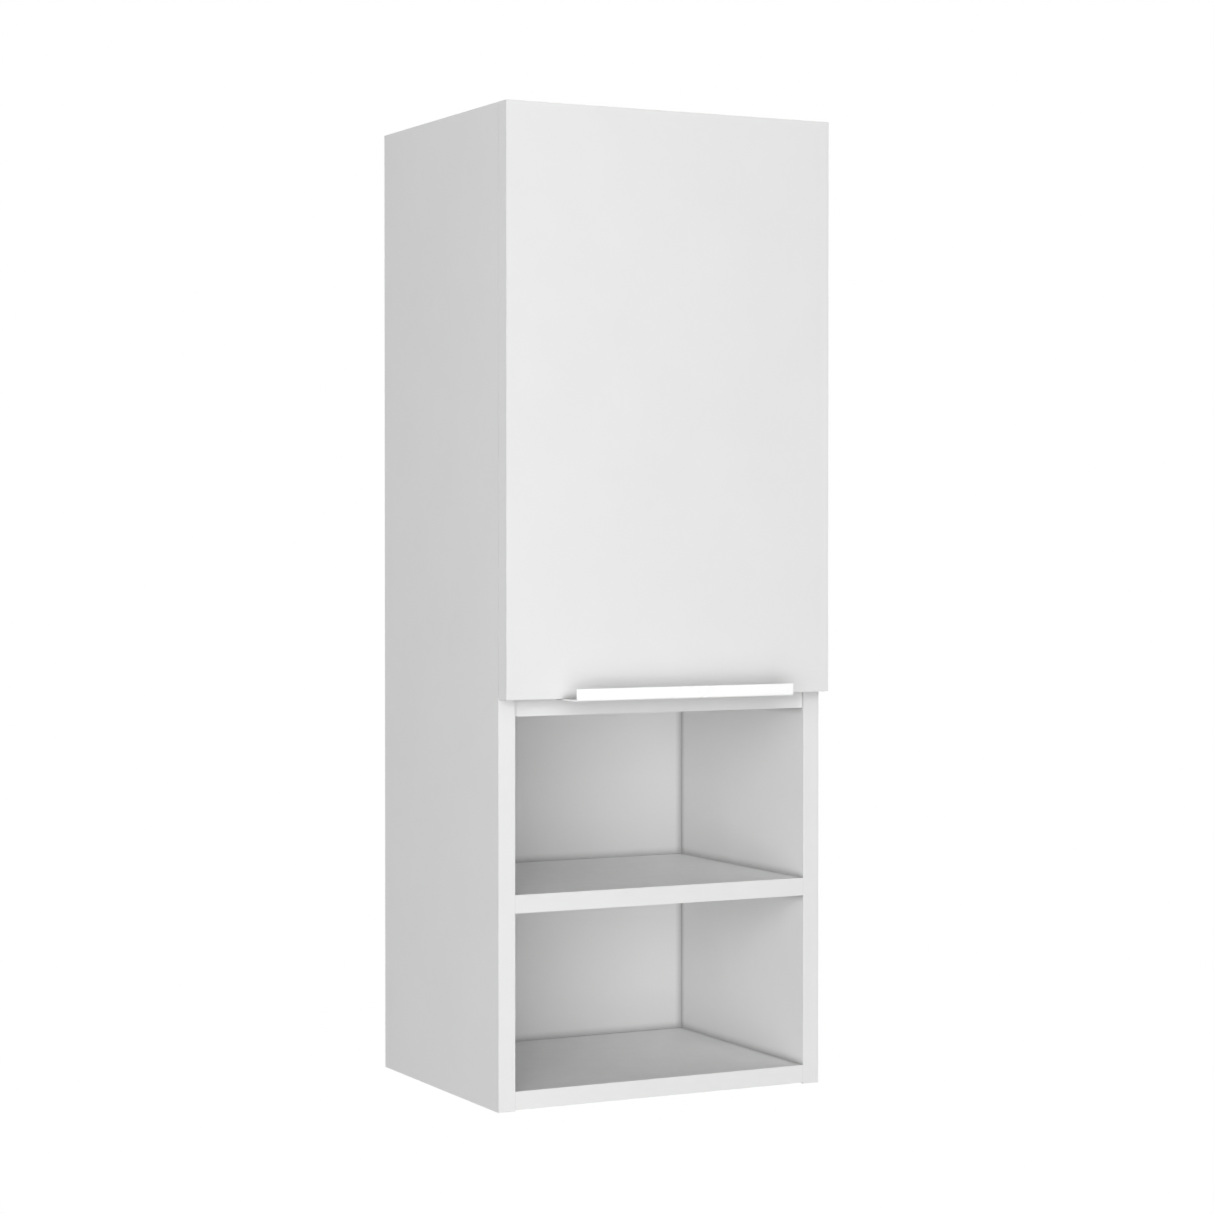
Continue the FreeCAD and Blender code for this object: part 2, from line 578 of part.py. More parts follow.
def door_panel():
    """Door that covers the carcass front; y = 0 is its rear face."""
    body = new_body("door_panel", "0", f"-{DOOR_REAR}", DOOR_LOW)
    box(body, "-sizes.width / 2", "-sizes.board", "sizes.width / 2", "0", "sizes.door_height")
    levels = [f"({level} - {DOOR_LOW})" for level in HINGE_LEVELS.values()]
    cup_x = "(sizes.width / 2 - sizes.cup_edge)"
    holes(body, "XZ_Plane", "0", [(cup_x, level) for level in levels], "sizes.cup_bore",
          "sizes.cup_bore_depth", True)
    ear_x = "(sizes.width / 2 - sizes.ear_inset)"
    ears = [(ear_x, f"{level} {way} sizes.ear_spacing / 2") for level in levels for way in "-+"]
    holes(body, "XZ_Plane", "0", ears, "sizes.pilot_hole", "sizes.ear_pilot_depth", True)
    pull_y = "-(sizes.board - sizes.pull_screw_inset)"
    holes(body, "XY_Plane", "0", [(x, pull_y) for x in PULL_SCREW_X], "sizes.pilot_hole",
          "sizes.pull_pilot_depth", True)
    return body


def edge_pull():
    """L-shaped pull under the door's lower edge: a leg behind, a lip that stands up in front."""
    body = new_body("edge_pull", "0", f"-{DOOR_FACE}", DOOR_LOW)
    front = "-sizes.pull_reach"
    inside = "-(sizes.pull_reach - sizes.pull_lip)"
    top = "(sizes.pull_height - sizes.pull_leg)"
    profile = new_sketch(body, "YZ_Plane")
    draw_outline(profile, [("sizes.pull_hold", "-sizes.pull_leg"), ("sizes.pull_hold", "0"),
                           (inside, "0"), (inside, top), (front, top), (front, "-sizes.pull_leg")])
    bar = pad(body, profile, "sizes.pull_length", middle=True)
    doc.recompute()
    bend = body.newObject("PartDesign::Fillet", "edge_pull_bend")
    bend.Base = (bar, [edge_near(bar, number(front), number("-sizes.pull_leg"))])
    bend.setExpression("Radius", "sizes.pull_bend")
    doc.recompute()
    holes(body, "XY_Plane", "0", [(x, "sizes.pull_screw_inset") for x in PULL_SCREW_X],
          "sizes.screw_clearance", "sizes.pull_leg")
    return body


def door_bumpers():
    """Two soft bumpers on the door's rear face, over the front edge of the left side."""
    body = new_body("door_bumpers", "0", f"-{DOOR_REAR}", DOOR_LOW)
    across = "-(sizes.width - sizes.board) / 2"
    places = [(across, "sizes.bumper_inset"), (across, "sizes.door_height - sizes.bumper_inset")]
    rods(body, "XZ_Plane", "0", places, "sizes.bumper_diameter", "sizes.bumper_thickness", True)
    return body


def edge_near(feature, back, up):
    """Name of the straight edge along X that passes through a point of the YZ plane."""
    for index, edge in enumerate(feature.Shape.Edges, start=1):
        box_of_edge = edge.BoundBox
        runs_along_x = box_of_edge.XLength > 1 and box_of_edge.YLength + box_of_edge.ZLength < 1e-6
        off = abs(box_of_edge.YMin - back) + abs(box_of_edge.ZMin - up)
        if runs_along_x and off < 1e-6:
            return f"Edge{index}"
    raise ValueError("no such edge")


# ---- fittings

def cam_locks():
    """Cam locks of every board and rail: discs with a bolt channel and a driver cross."""
    body = new_body("cam_locks")
    cams, _ = fitting_depths()
    left = f"-{INNER_HALF} + sizes.cam_inset"
    features = []
    for low, above in BOARDS.values():
        face = f"{low} + sizes.board" if above else low
        middle = f"{low} + sizes.board / 2"
        centres = [(left, y) for y in cams]
        features.append(rods(body, "XY_Plane", face, centres, "sizes.cam_diameter",
                             "sizes.cam_depth", above))
        features.append(cross_cuts(body, "XY_Plane", face, centres, not above))
        features.append(holes(body, "YZ_Plane", f"{left} - sizes.cam_diameter / 2",
                              [(y, middle) for y in cams], "sizes.cam_channel",
                              "sizes.cam_diameter / 2 + sizes.bolt_head_length", True))
    for low, tall in RAILS.values():
        level = f"{low} + {tall} * {RAIL_BOLT_SHARE}"
        features.append(rods(body, "XZ_Plane", "0", [(left, level)], "sizes.cam_diameter",
                             "sizes.cam_depth"))
        features.append(cross_cuts(body, "XZ_Plane", "0", [(left, level)], True))
        features.append(holes(body, "YZ_Plane", f"{left} - sizes.cam_diameter / 2",
                              [(RAIL_MIDDLE, level)], "sizes.cam_channel",
                              "sizes.cam_diameter / 2 + sizes.bolt_head_length", True))
    mirror(body, features)
    return body


def cross_cuts(body, plane, lift, centres, along_normal):
    """Driver crosses cut into the faces of screws or cams."""
    sketch = new_sketch(body, plane, lift)
    for across, up in centres:
        draw_cross(sketch, across, up, "sizes.cam_cross", "sizes.cam_cross_width")
    return pocket(body, sketch, "sizes.cam_cross_depth", along_normal)


def cam_bolts():
    """Cam bolts: thread in the side, shank, thin neck and head inside the cam."""
    body = new_body("cam_bolts")
    places = bolt_places()
    wall = f"-{INNER_HALF}"
    shank = "(sizes.cam_inset - sizes.bolt_neck_length)"
    features = [
        rods(body, "YZ_Plane", wall, places, "sizes.bolt_thread", "sizes.bolt_thread_length", True),
        rods(body, "YZ_Plane", wall, places, "sizes.bolt_shank", shank),
        rods(body, "YZ_Plane", f"{wall} + {shank}", places, "sizes.bolt_neck",
             "sizes.bolt_neck_length"),
        rods(body, "YZ_Plane", f"{wall} + sizes.cam_inset", places, "sizes.bolt_head",
             "sizes.bolt_head_length - sizes.bolt_head_play"),
    ]
    mirror(body, features)
    return body


def dowels():
    """Wood dowels beside the cam bolts, half in the side and half in the board's end."""
    body = new_body("dowels")
    places = dowel_places()
    wall = f"-{INNER_HALF} - sizes.dowel_in_side"
    length = "sizes.dowel_in_side + sizes.dowel_in_board"
    mirror(body, [rods(body, "YZ_Plane", wall, places, "sizes.dowel_diameter", length)])
    return body


def shelf_pins():
    """Four plain shelf pins, two in each side panel."""
    body = new_body("shelf_pins")
    places = [(y, PIN_LEVEL) for y in pin_depths()]
    wall = f"-{INNER_HALF}"
    features = [
        rods(body, "YZ_Plane", wall, places, "sizes.pin_diameter", "sizes.pin_reach"),
        rods(body, "YZ_Plane", wall, places, "sizes.pin_diameter",
             "sizes.pin_hole_depth - sizes.end_play", True),
    ]
    mirror(body, features)
    return body


def pull_screws():
    """Two pan-head screws that hold the pull to the door's lower edge."""
    body = new_body("pull_screws", "0", f"-{DOOR_FACE}", DOOR_LOW)
    x = "-sizes.pull_screw_spacing / 2"
    y = "sizes.pull_screw_inset"
    features = [
        rods(body, "XY_Plane", "-sizes.pull_leg", [(x, y)], "sizes.pull_screw_thread",
             "sizes.pull_leg + sizes.pull_screw_grip"),
        rods(body, "XY_Plane", "-sizes.pull_leg", [(x, y)], "sizes.pull_screw_head",
             "sizes.pull_screw_head_height", True),
    ]
    sketch = new_sketch(body, "XY_Plane", "-sizes.pull_leg - sizes.pull_screw_head_height")
    draw_cross(sketch, x, y, "sizes.pull_cross", "sizes.pull_cross_width")
    features.append(pocket(body, sketch, "sizes.pull_cross_depth", True))
    mirror(body, features)
    return body


# ---- concealed hinges: in their own frame x = 0 is the side's outer face, y = 0 its front edge and
# z = 0 the middle of the cup

def hinge_body(side, piece):
    """Body of one hinge, placed at the hinge's level."""
    return new_body(f"{side}_{piece}", "sizes.width / 2", "-sizes.depth", HINGE_LEVELS[side])


def ahead(name):
    """Point in front of the carcass: inset and ahead cells as plan coordinates."""
    return f"-sizes.{name}_inset", f"-sizes.{name}_ahead"


def behind(name):
    """Point behind the carcass front: inset and behind cells as plan coordinates."""
    return f"-sizes.{name}_inset", f"sizes.{name}_behind"


ARM_PIN_A = behind("arm_pin_a")
ARM_PIN_B = behind("arm_pin_b")
CUP_PIN_A = ahead("cup_pin_a")
CUP_PIN_B = ahead("cup_pin_b")
SLOT_NEAR = ahead("slot_near")
SLOT_FAR = ahead("slot_far")
RUNNING_BORE = "(2 * (sizes.pin_radius + sizes.pin_play))"
FIXED_BORE = "(2 * sizes.pin_radius + sizes.pin_fit)"
FIXING_PLACES = [("sizes.fixing_screw_front", "0"), ("sizes.fixing_screw_rear", "0")]


def plan_pad(body, shape, half_height):
    """Pad a plan shape both ways from the hinge's middle plane."""
    sketch = new_sketch(body)
    shape(sketch)
    return pad(body, sketch, f"2 * {half_height}", middle=True)


def plan_pocket(body, shape, half_height):
    """Pocket a plan shape both ways from the hinge's middle plane."""
    sketch = new_sketch(body)
    shape(sketch)
    return pocket(body, sketch, f"2 * {half_height}", middle=True)


def hinge_cup(side):
    """Cup in the door with a flange, two ears for screws and holes for the link pins."""
    body = hinge_body(side, "hinge_cup")
    centre = ("-sizes.cup_edge", "0")
    rods(body, "XZ_Plane", "sizes.door_gap", [centre], "sizes.cup_outer", "sizes.cup_depth")
    plate = new_sketch(body, "XZ_Plane", "sizes.door_gap")
    start, end = "-sizes.flange_start", "-sizes.flange_end"
    half, cut = "sizes.flange_half", "sizes.flange_corner"
    draw_outline(plate, [(start, f"-{half}"), (f"{end} + {cut}", f"-{half}"),
                         (end, f"-{half} + {cut}"), (end, f"{half} - {cut}"),
                         (f"{end} + {cut}", half), (start, half)])
    pad(body, plate, "sizes.flange_thickness", reverse=True)
    ears = new_sketch(body, "XZ_Plane", "sizes.door_gap")
    ear_x = "-sizes.ear_inset"
    draw_capsule(ears, (ear_x, "-sizes.ear_spacing / 2"), (ear_x, "sizes.ear_spacing / 2"),
                 "sizes.ear_radius")
    pad(body, ears, "sizes.flange_thickness", reverse=True)
    holes(body, "XZ_Plane", "sizes.door_gap - sizes.flange_thickness", [centre], "sizes.cup_inner",
          "sizes.cup_depth - sizes.cup_floor + sizes.flange_thickness", True)
    screws = [(ear_x, f"{way} sizes.ear_spacing / 2") for way in "-+"]
    holes(body, "XZ_Plane", "sizes.door_gap", screws, "sizes.screw_clearance",
          "sizes.flange_thickness")
    for pin in (CUP_PIN_A, CUP_PIN_B):
        bore = new_sketch(body)
        draw_circle(bore, *pin, FIXED_BORE)
        pocket(body, bore, "sizes.cup_outer", middle=True)
    return body


def cup_pins(side):
    """Pins in the cup: one right across for the inner link, two stubs for the outer link's cheeks."""
    body = hinge_body(side, "cup_pins")
    through = new_sketch(body)
    draw_circle(through, *CUP_PIN_B, "2 * sizes.pin_radius")
    pad(body, through, "sizes.cup_pin_length", middle=True)
    stub_start = "(sizes.inner_half_height + sizes.link_side_gap)"
    stub = new_sketch(body, "XY_Plane", stub_start)
    draw_circle(stub, *CUP_PIN_A, "2 * sizes.pin_radius")
    stub_pad = pad(body, stub, f"sizes.cup_pin_length / 2 - {stub_start}")
    mirror(body, [stub_pad], "XY_Plane")
    return body


def cup_screws(side):
    """Two screws that hold the cup's ears to the door."""
    body = hinge_body(side, "cup_screws")
    place = [("-sizes.ear_inset", "-sizes.ear_spacing / 2")]
    face = "sizes.door_gap - sizes.flange_thickness"
    features = [
        rods(body, "XZ_Plane", face, place, "sizes.cup_screw_thread",
             "sizes.flange_thickness + sizes.cup_screw_grip"),
        rods(body, "XZ_Plane", face, place, "sizes.cup_screw_head",
             "sizes.cup_screw_head_height", True),
    ]
    sketch = new_sketch(body, "XZ_Plane", f"{face} - sizes.cup_screw_head_height")
    draw_cross(sketch, *place[0], "sizes.cup_cross", "sizes.cup_cross_width")
    features.append(pocket(body, sketch, "sizes.cup_cross_depth", True))
    mirror(body, features, "XY_Plane")
    return body


def outer_link(side):
    """Outer link: two cranked cheeks joined by a bridge, with an eye at each end."""
    body = hinge_body(side, "outer_link")
    knee_a, knee_b = ahead("outer_knee_a"), ahead("outer_knee_b")
    half = "sizes.outer_half_width"
    tall = "sizes.outer_half_height"
    for start, end in ((ARM_PIN_A, knee_a), (knee_a, knee_b), (knee_b, CUP_PIN_A)):
        plan_pad(body, lambda sketch, a=start, b=end: draw_capsule(sketch, a, b, half), tall)
    plan_pad(body, lambda sketch: draw_circle(sketch, *ARM_PIN_A, "2 * sizes.outer_eye_arm"), tall)
    plan_pad(body, lambda sketch: draw_circle(sketch, *CUP_PIN_A, "2 * sizes.outer_eye_cup"), tall)
    middle = f"({tall} - sizes.outer_cheek)"
    far = "(sizes.arm_nose_high + 2 * sizes.overcut)"
    plan_pocket(body, lambda sketch: draw_rectangle(sketch, f"-{far}", f"-{far} / 2", "0",
                                                    f"{far} / 2"), middle)
    share = "sizes.outer_bridge_start"
    near = [f"{a} + {share} * ({b} - {a})" for a, b in zip(ARM_PIN_A, knee_a)]
    plan_pad(body, lambda sketch: draw_capsule(sketch, near, knee_a, "sizes.outer_bridge_half"),
             f"({tall} - sizes.outer_bridge_inset)")
    for pin in (ARM_PIN_A, CUP_PIN_A):
        plan_pocket(body, lambda sketch, at=pin: draw_circle(sketch, *at, RUNNING_BORE), tall)
    return body


def inner_link(side):
    """Inner link: a cranked bar with a round eye on the arm and a slotted eye on the cup pin."""
    body = hinge_body(side, "inner_link")
    knee_a, knee_b = ahead("inner_knee_a"), ahead("inner_knee_b")
    half = "sizes.inner_half_width"
    tall = "sizes.inner_half_height"
    slot = "(sizes.pin_radius + sizes.slot_play)"
    for start, end in ((ARM_PIN_B, knee_a), (knee_a, knee_b), (knee_b, SLOT_NEAR)):
        plan_pad(body, lambda sketch, a=start, b=end: draw_capsule(sketch, a, b, half), tall)
    plan_pad(body, lambda sketch: draw_circle(sketch, *ARM_PIN_B, "2 * sizes.inner_eye_arm"), tall)
    plan_pad(body, lambda sketch: draw_capsule(sketch, SLOT_NEAR, SLOT_FAR,
                                               f"{slot} + sizes.inner_eye_wall"), tall)
    plan_pocket(body, lambda sketch: draw_circle(sketch, *ARM_PIN_B, RUNNING_BORE), tall)
    plan_pocket(body, lambda sketch: draw_capsule(sketch, SLOT_NEAR, SLOT_FAR, slot), tall)
    return body


def arm_pins(side):
    """Two pins through the arm's nose."""
    body = hinge_body(side, "arm_pins")
    for pin in (ARM_PIN_A, ARM_PIN_B):
        plan_pad(body, lambda sketch, at=pin: draw_circle(sketch, *at, "2 * sizes.pin_radius"),
                 "(sizes.arm_half_height + sizes.arm_pin_stand)")
    return body


def hinge_arm(side):
    """Cranked channel over the mounting plate, open towards the side panel and at the front."""
    body = hinge_body(side, "hinge_arm")
    low, high, nose = "-sizes.arm_low", "-sizes.arm_high", "-sizes.arm_nose_high"
    tall = "sizes.arm_half_height"
    outline = [(low, "sizes.arm_rear"), (high, "sizes.arm_rear"), (high, "sizes.arm_step_rear"),
               (nose, "sizes.arm_step_front"), (nose, "sizes.arm_nose_front"),
               (ARM_PIN_A[0], "sizes.arm_lip_a"), (ARM_PIN_B[0], "sizes.arm_lip_b"),
               (f"{ARM_PIN_B[0]} + sizes.arm_throat", "sizes.arm_throat_behind"),
               ("-sizes.arm_chin", "sizes.arm_chin_behind"), (low, "sizes.arm_low_front")]
    plan_pad(body, lambda sketch: draw_outline(sketch, outline), tall)
    plan_pad(body, lambda sketch: draw_capsule(sketch, ARM_PIN_A, ARM_PIN_B, "sizes.arm_eye"), tall)
    web_in, nose_in = f"{high} + sizes.arm_sheet", f"{nose} + sizes.arm_sheet"
    corner = "sizes.arm_sheet / 4"
    rear, front = "sizes.arm_rear + sizes.overcut", "-2 * sizes.overcut"
    inside = [("0", rear), (web_in, rear), (web_in, f"sizes.arm_step_rear + {corner}"),
              (nose_in, f"sizes.arm_step_front + {corner}"), (nose_in, front), ("0", front)]
    plan_pocket(body, lambda sketch: draw_outline(sketch, inside), f"({tall} - sizes.arm_sheet)")
    for pin in (ARM_PIN_A, ARM_PIN_B):
        plan_pocket(body, lambda sketch, at=pin: draw_circle(sketch, *at, FIXED_BORE), tall)
    holes(body, "YZ_Plane", f"{high} - sizes.arm_sheet", FIXING_PLACES, "sizes.fixing_hole",
          "3 * sizes.arm_sheet", True)
    return body


def mounting_plate(side):
    """Cross-shaped plate on the side panel with a block that carries the arm."""
    body = hinge_body(side, "mounting_plate")
    wall = "-sizes.board"
    wings = new_sketch(body, "YZ_Plane", wall)
    draw_capsule(wings, ("sizes.plate_middle", "-sizes.plate_screw_spacing / 2"),
                 ("sizes.plate_middle", "sizes.plate_screw_spacing / 2"), "sizes.plate_wing_radius")
    pad(body, wings, "sizes.plate_thickness", reverse=True)
    web = new_sketch(body, "YZ_Plane", wall)
    draw_rectangle(web, "sizes.plate_front", "-sizes.plate_half_height", "sizes.plate_rear",
                   "sizes.plate_half_height")
    pad(body, web, "sizes.plate_thickness", reverse=True)
    block = new_sketch(body, "YZ_Plane", f"{wall} - sizes.plate_thickness")
    draw_rectangle(block, "sizes.block_front", "-sizes.block_half_height", "sizes.block_rear",
                   "sizes.block_half_height")
    pad(body, block, "sizes.arm_high - sizes.arm_sheet - sizes.board - sizes.plate_thickness",
        reverse=True)
    screws = [("sizes.plate_middle", f"{way} sizes.plate_screw_spacing / 2") for way in "-+"]
    holes(body, "YZ_Plane", f"{wall} - sizes.plate_thickness", screws, "sizes.plate_screw_hole",
          "sizes.plate_thickness", True)
    holes(body, "YZ_Plane", "-sizes.arm_high", FIXING_PLACES, "sizes.fixing_tap",
          "sizes.fixing_tap_depth", True)
    return body


def plate_screws(side):
    """Two system screws of a mounting plate."""
    body = hinge_body(side, "plate_screws")
    place = [("sizes.plate_middle", "-sizes.plate_screw_spacing / 2")]
    face = "-sizes.board - sizes.plate_thickness"
    features = [
        rods(body, "YZ_Plane", face, place, "sizes.plate_screw_thread",
             "sizes.plate_thickness + sizes.plate_screw_grip"),
        rods(body, "YZ_Plane", face, place, "sizes.plate_screw_head", "sizes.hinge_head_height",
             True),
    ]
    sketch = new_sketch(body, "YZ_Plane", f"{face} - sizes.hinge_head_height")
    draw_cross(sketch, *place[0], "sizes.plate_cross", "sizes.hinge_cross_width")
    features.append(pocket(body, sketch, "sizes.hinge_cross_depth", True))
    mirror(body, features, "XY_Plane")
    return body


def arm_screws(side):
    """Two screws through the arm into the plate's block: fixing and side adjustment."""
    body = hinge_body(side, "arm_screws")
    back = "-sizes.arm_high"
    rods(body, "YZ_Plane", back, FIXING_PLACES, "sizes.fixing_thread", "sizes.fixing_grip")
    rods(body, "YZ_Plane", back, FIXING_PLACES, "sizes.fixing_head", "sizes.hinge_head_height", True)
    sketch = new_sketch(body, "YZ_Plane", f"{back} - sizes.hinge_head_height")
    for across, up in FIXING_PLACES:
        draw_cross(sketch, across, up, "sizes.fixing_cross", "sizes.hinge_cross_width")
    pocket(body, sketch, "sizes.hinge_cross_depth", True)
    return body


# ---- assembly

REAR_OF_BOARD = f"-({BACK_FRONT} + sizes.groove_play)"
side_panel("left_side_panel", right=False)
side_panel("right_side_panel", right=True)
level_board("top_panel", "-sizes.depth", "0", "below")
level_board("divider_panel", "-(sizes.depth - sizes.divider_recess)", REAR_OF_BOARD)
level_board("niche_shelf", "-sizes.depth", REAR_OF_BOARD)
level_board("bottom_panel", "-sizes.depth", "0", "above")
back_panel()
rear_rail("hanging_rail", wall_screws=True)
rear_rail("lower_rail", wall_screws=False)
inner_shelf()
shelf_pins()
cam_locks()
cam_bolts()
dowels()
door_panel()
door_bumpers()
edge_pull()
pull_screws()
for hinge_side in HINGE_LEVELS:
    hinge_cup(hinge_side)
    cup_pins(hinge_side)
    cup_screws(hinge_side)
    outer_link(hinge_side)
    inner_link(hinge_side)
    hinge_arm(hinge_side)
    arm_pins(hinge_side)
    mounting_plate(hinge_side)
    plate_screws(hinge_side)
    arm_screws(hinge_side)

doc.recompute()
for item in doc.Objects:
    if "Invalid" in item.State or "Error" in item.State:
        raise ValueError(f"{item.Label} failed: {item.State}")
for node in nodes:
    if node.Shape.isNull() or not node.Shape.isValid():
        raise ValueError(f"{node.Label} has no valid shape")

os.makedirs("parts", exist_ok=True)
for node in nodes:
    node.Shape.exportStep(f"parts/{node.Label}.step")
    extent = node.Shape.BoundBox
    print(f"{node.Label}: {len(node.Shape.Solids)} solids, "
          f"{extent.XLength:.1f} x {extent.YLength:.1f} x {extent.ZLength:.1f} mm")
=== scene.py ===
"""Finishes and studio for a narrow wall cabinet: one door with an edge pull, over two open niches.

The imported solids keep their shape. Each gets a finish of its own and the small rounding that a
machined or pressed part has on its edges. The studio stands round the cabinet as it hangs.
"""

from __future__ import annotations

import logging
import math
import sys
from dataclasses import dataclass
from enum import Enum

import bmesh
import bpy
from mathutils import Euler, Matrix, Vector

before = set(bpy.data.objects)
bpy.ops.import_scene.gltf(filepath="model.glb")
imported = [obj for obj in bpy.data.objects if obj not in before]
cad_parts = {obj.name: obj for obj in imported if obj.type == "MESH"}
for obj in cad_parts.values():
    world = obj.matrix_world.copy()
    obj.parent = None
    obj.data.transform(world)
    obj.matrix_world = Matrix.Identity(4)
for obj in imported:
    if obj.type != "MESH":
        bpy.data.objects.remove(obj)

log = logging.getLogger("wall_cabinet")

Link = bpy.types.NodeSocket

# Operands of a maths node, which all have one name.
FIRST, SECOND, THIRD = range(3)

# Sockets of a colour mix, which share their names with those of its other data types.
MIX_FACTOR, MIX_A, MIX_B, MIX_RESULT = 0, 6, 7, 2

FLAT_DEG = 0.5  # facets that meet at less than this are one flat face
SHARP_DEG = 50.0  # edges sharper than this get their rounding

HINGES = ("lower", "upper")


def linear(hex_colour: str) -> tuple[float, float, float, float]:
    """Turn an sRGB hex colour into the linear colour that the shaders take.

    Args:
        hex_colour: a colour such as "#F4F4F2".

    Returns:
        Red, green, blue and alpha, each from 0 to 1.
    """
    digits = hex_colour.lstrip("#")
    channels = [int(digits[place : place + 2], 16) / 255 for place in (0, 2, 4)]
    red, green, blue = (
        value / 12.92 if value <= 0.04045 else ((value + 0.055) / 1.055) ** 2.4 for value in channels
    )
    return red, green, blue, 1.0


def per_metre(size_mm: float) -> float:
    """Return the pattern scale, in repeats per metre, whose features are size_mm across."""
    return 1000.0 / size_mm


def feed(node: bpy.types.Node, sources: dict[str | int, Link]) -> None:
    """Link sockets to a node's inputs.

    Args:
        node: the node to feed.
        sources: for each of its input sockets, the socket that feeds it.
    """
    for socket, source in sources.items():
        node.id_data.links.new(source, node.inputs[socket])


def add_node(
    tree: bpy.types.NodeTree,
    kind: str,
    settings: dict[str, object] | None = None,
    values: dict[str | int, object] | None = None,
    links: dict[str | int, Link] | None = None,
) -> bpy.types.Node:
    """Add one node to a tree.

    Args:
        tree: the material's or the world's node tree.
        kind: the node's type, without its "ShaderNode" prefix.
        settings: attributes of the node.
        values: constants for its input sockets.
        links: sockets that feed its input sockets.

    Returns:
        The new node.
    """
    node = tree.nodes.new("ShaderNode" + kind)
    for name, value in (settings or {}).items():
        setattr(node, name, value)
    for socket, value in (values or {}).items():
        node.inputs[socket].default_value = value
    feed(node, links or {})
    return node


class Slot(Enum):
    """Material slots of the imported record."""

    BOARD = "board_white"
    BACK = "back_board"
    PULL = "pull_white"
    PRESSED = "hinge_steel"
    PLATED = "nickel_steel"
    ZINC = "zinc"
    BEECH = "beech"
    BUMPER = "bumper_clear"


@dataclass(frozen=True)
class Finish:
    """What every finish has: a name, the colour it starts from, and how rough it is."""

    name: str
    colour: str
    roughness: float

    def start(self) -> tuple[bpy.types.Material, bpy.types.NodeTree, bpy.types.Node]:
        """Make the material with its shader.

        Returns:
            The material, its node tree, and the shader node with the colour and roughness set.
        """
        material = bpy.data.materials.new(self.name)
        material.use_nodes = True
        tree = material.node_tree
        tree.nodes.clear()
        shader = add_node(
            tree,
            "BsdfPrincipled",
            values={"Base Color": linear(self.colour), "Roughness": self.roughness},
        )
        add_node(tree, "OutputMaterial", links={"Surface": shader.outputs["BSDF"]})
        return material, tree, shader

    def joint_shade(
        self, tree: bpy.types.NodeTree, reach_mm: float, clear: float = 0.95, full: float = 0.5
    ) -> bpy.types.Node:
        """Add the mask for painted shade, where faces close in on each other.

        Args:
            tree: the material's node tree.
            reach_mm: how far off a face still counts.
            clear: openness at which the shade starts; 1 is a face in the open.
            full: openness at which the shade is full.

        Returns:
            The node whose result goes from 0 in the open to 1 deep in a joint.
        """
        opening = add_node(
            tree,
            "AmbientOcclusion",
            settings={"samples": 6},
            values={"Distance": reach_mm / 1000},
        )
        return add_node(
            tree,
            "MapRange",
            values={"From Min": clear, "From Max": full},
            links={"Value": opening.outputs["AO"]},
        )

    def not_front(
        self, tree: bpy.types.NodeTree, coordinates: bpy.types.Node, front: float = 0.0
    ) -> bpy.types.Node:
        """Tell the faces towards the room from all others.

        Args:
            tree: the material's node tree.
            coordinates: its texture coordinates.
            front: the result on faces towards the room.

        Returns:
            The node whose result is front on those faces and 1 on all others.
        """
        sides = add_node(
            tree, "SeparateXYZ", links={"Vector": coordinates.outputs["Normal"]}
        )
        return add_node(
            tree,
            "MapRange",
            values={"From Min": -0.6, "From Max": -0.5, "To Min": front, "To Max": 1.0},
            links={"Value": sides.outputs["Y"]},
        )

    def material(self) -> bpy.types.Material:
        """Return the plain material; each finish adds its own pattern to it."""
        return self.start()[0]


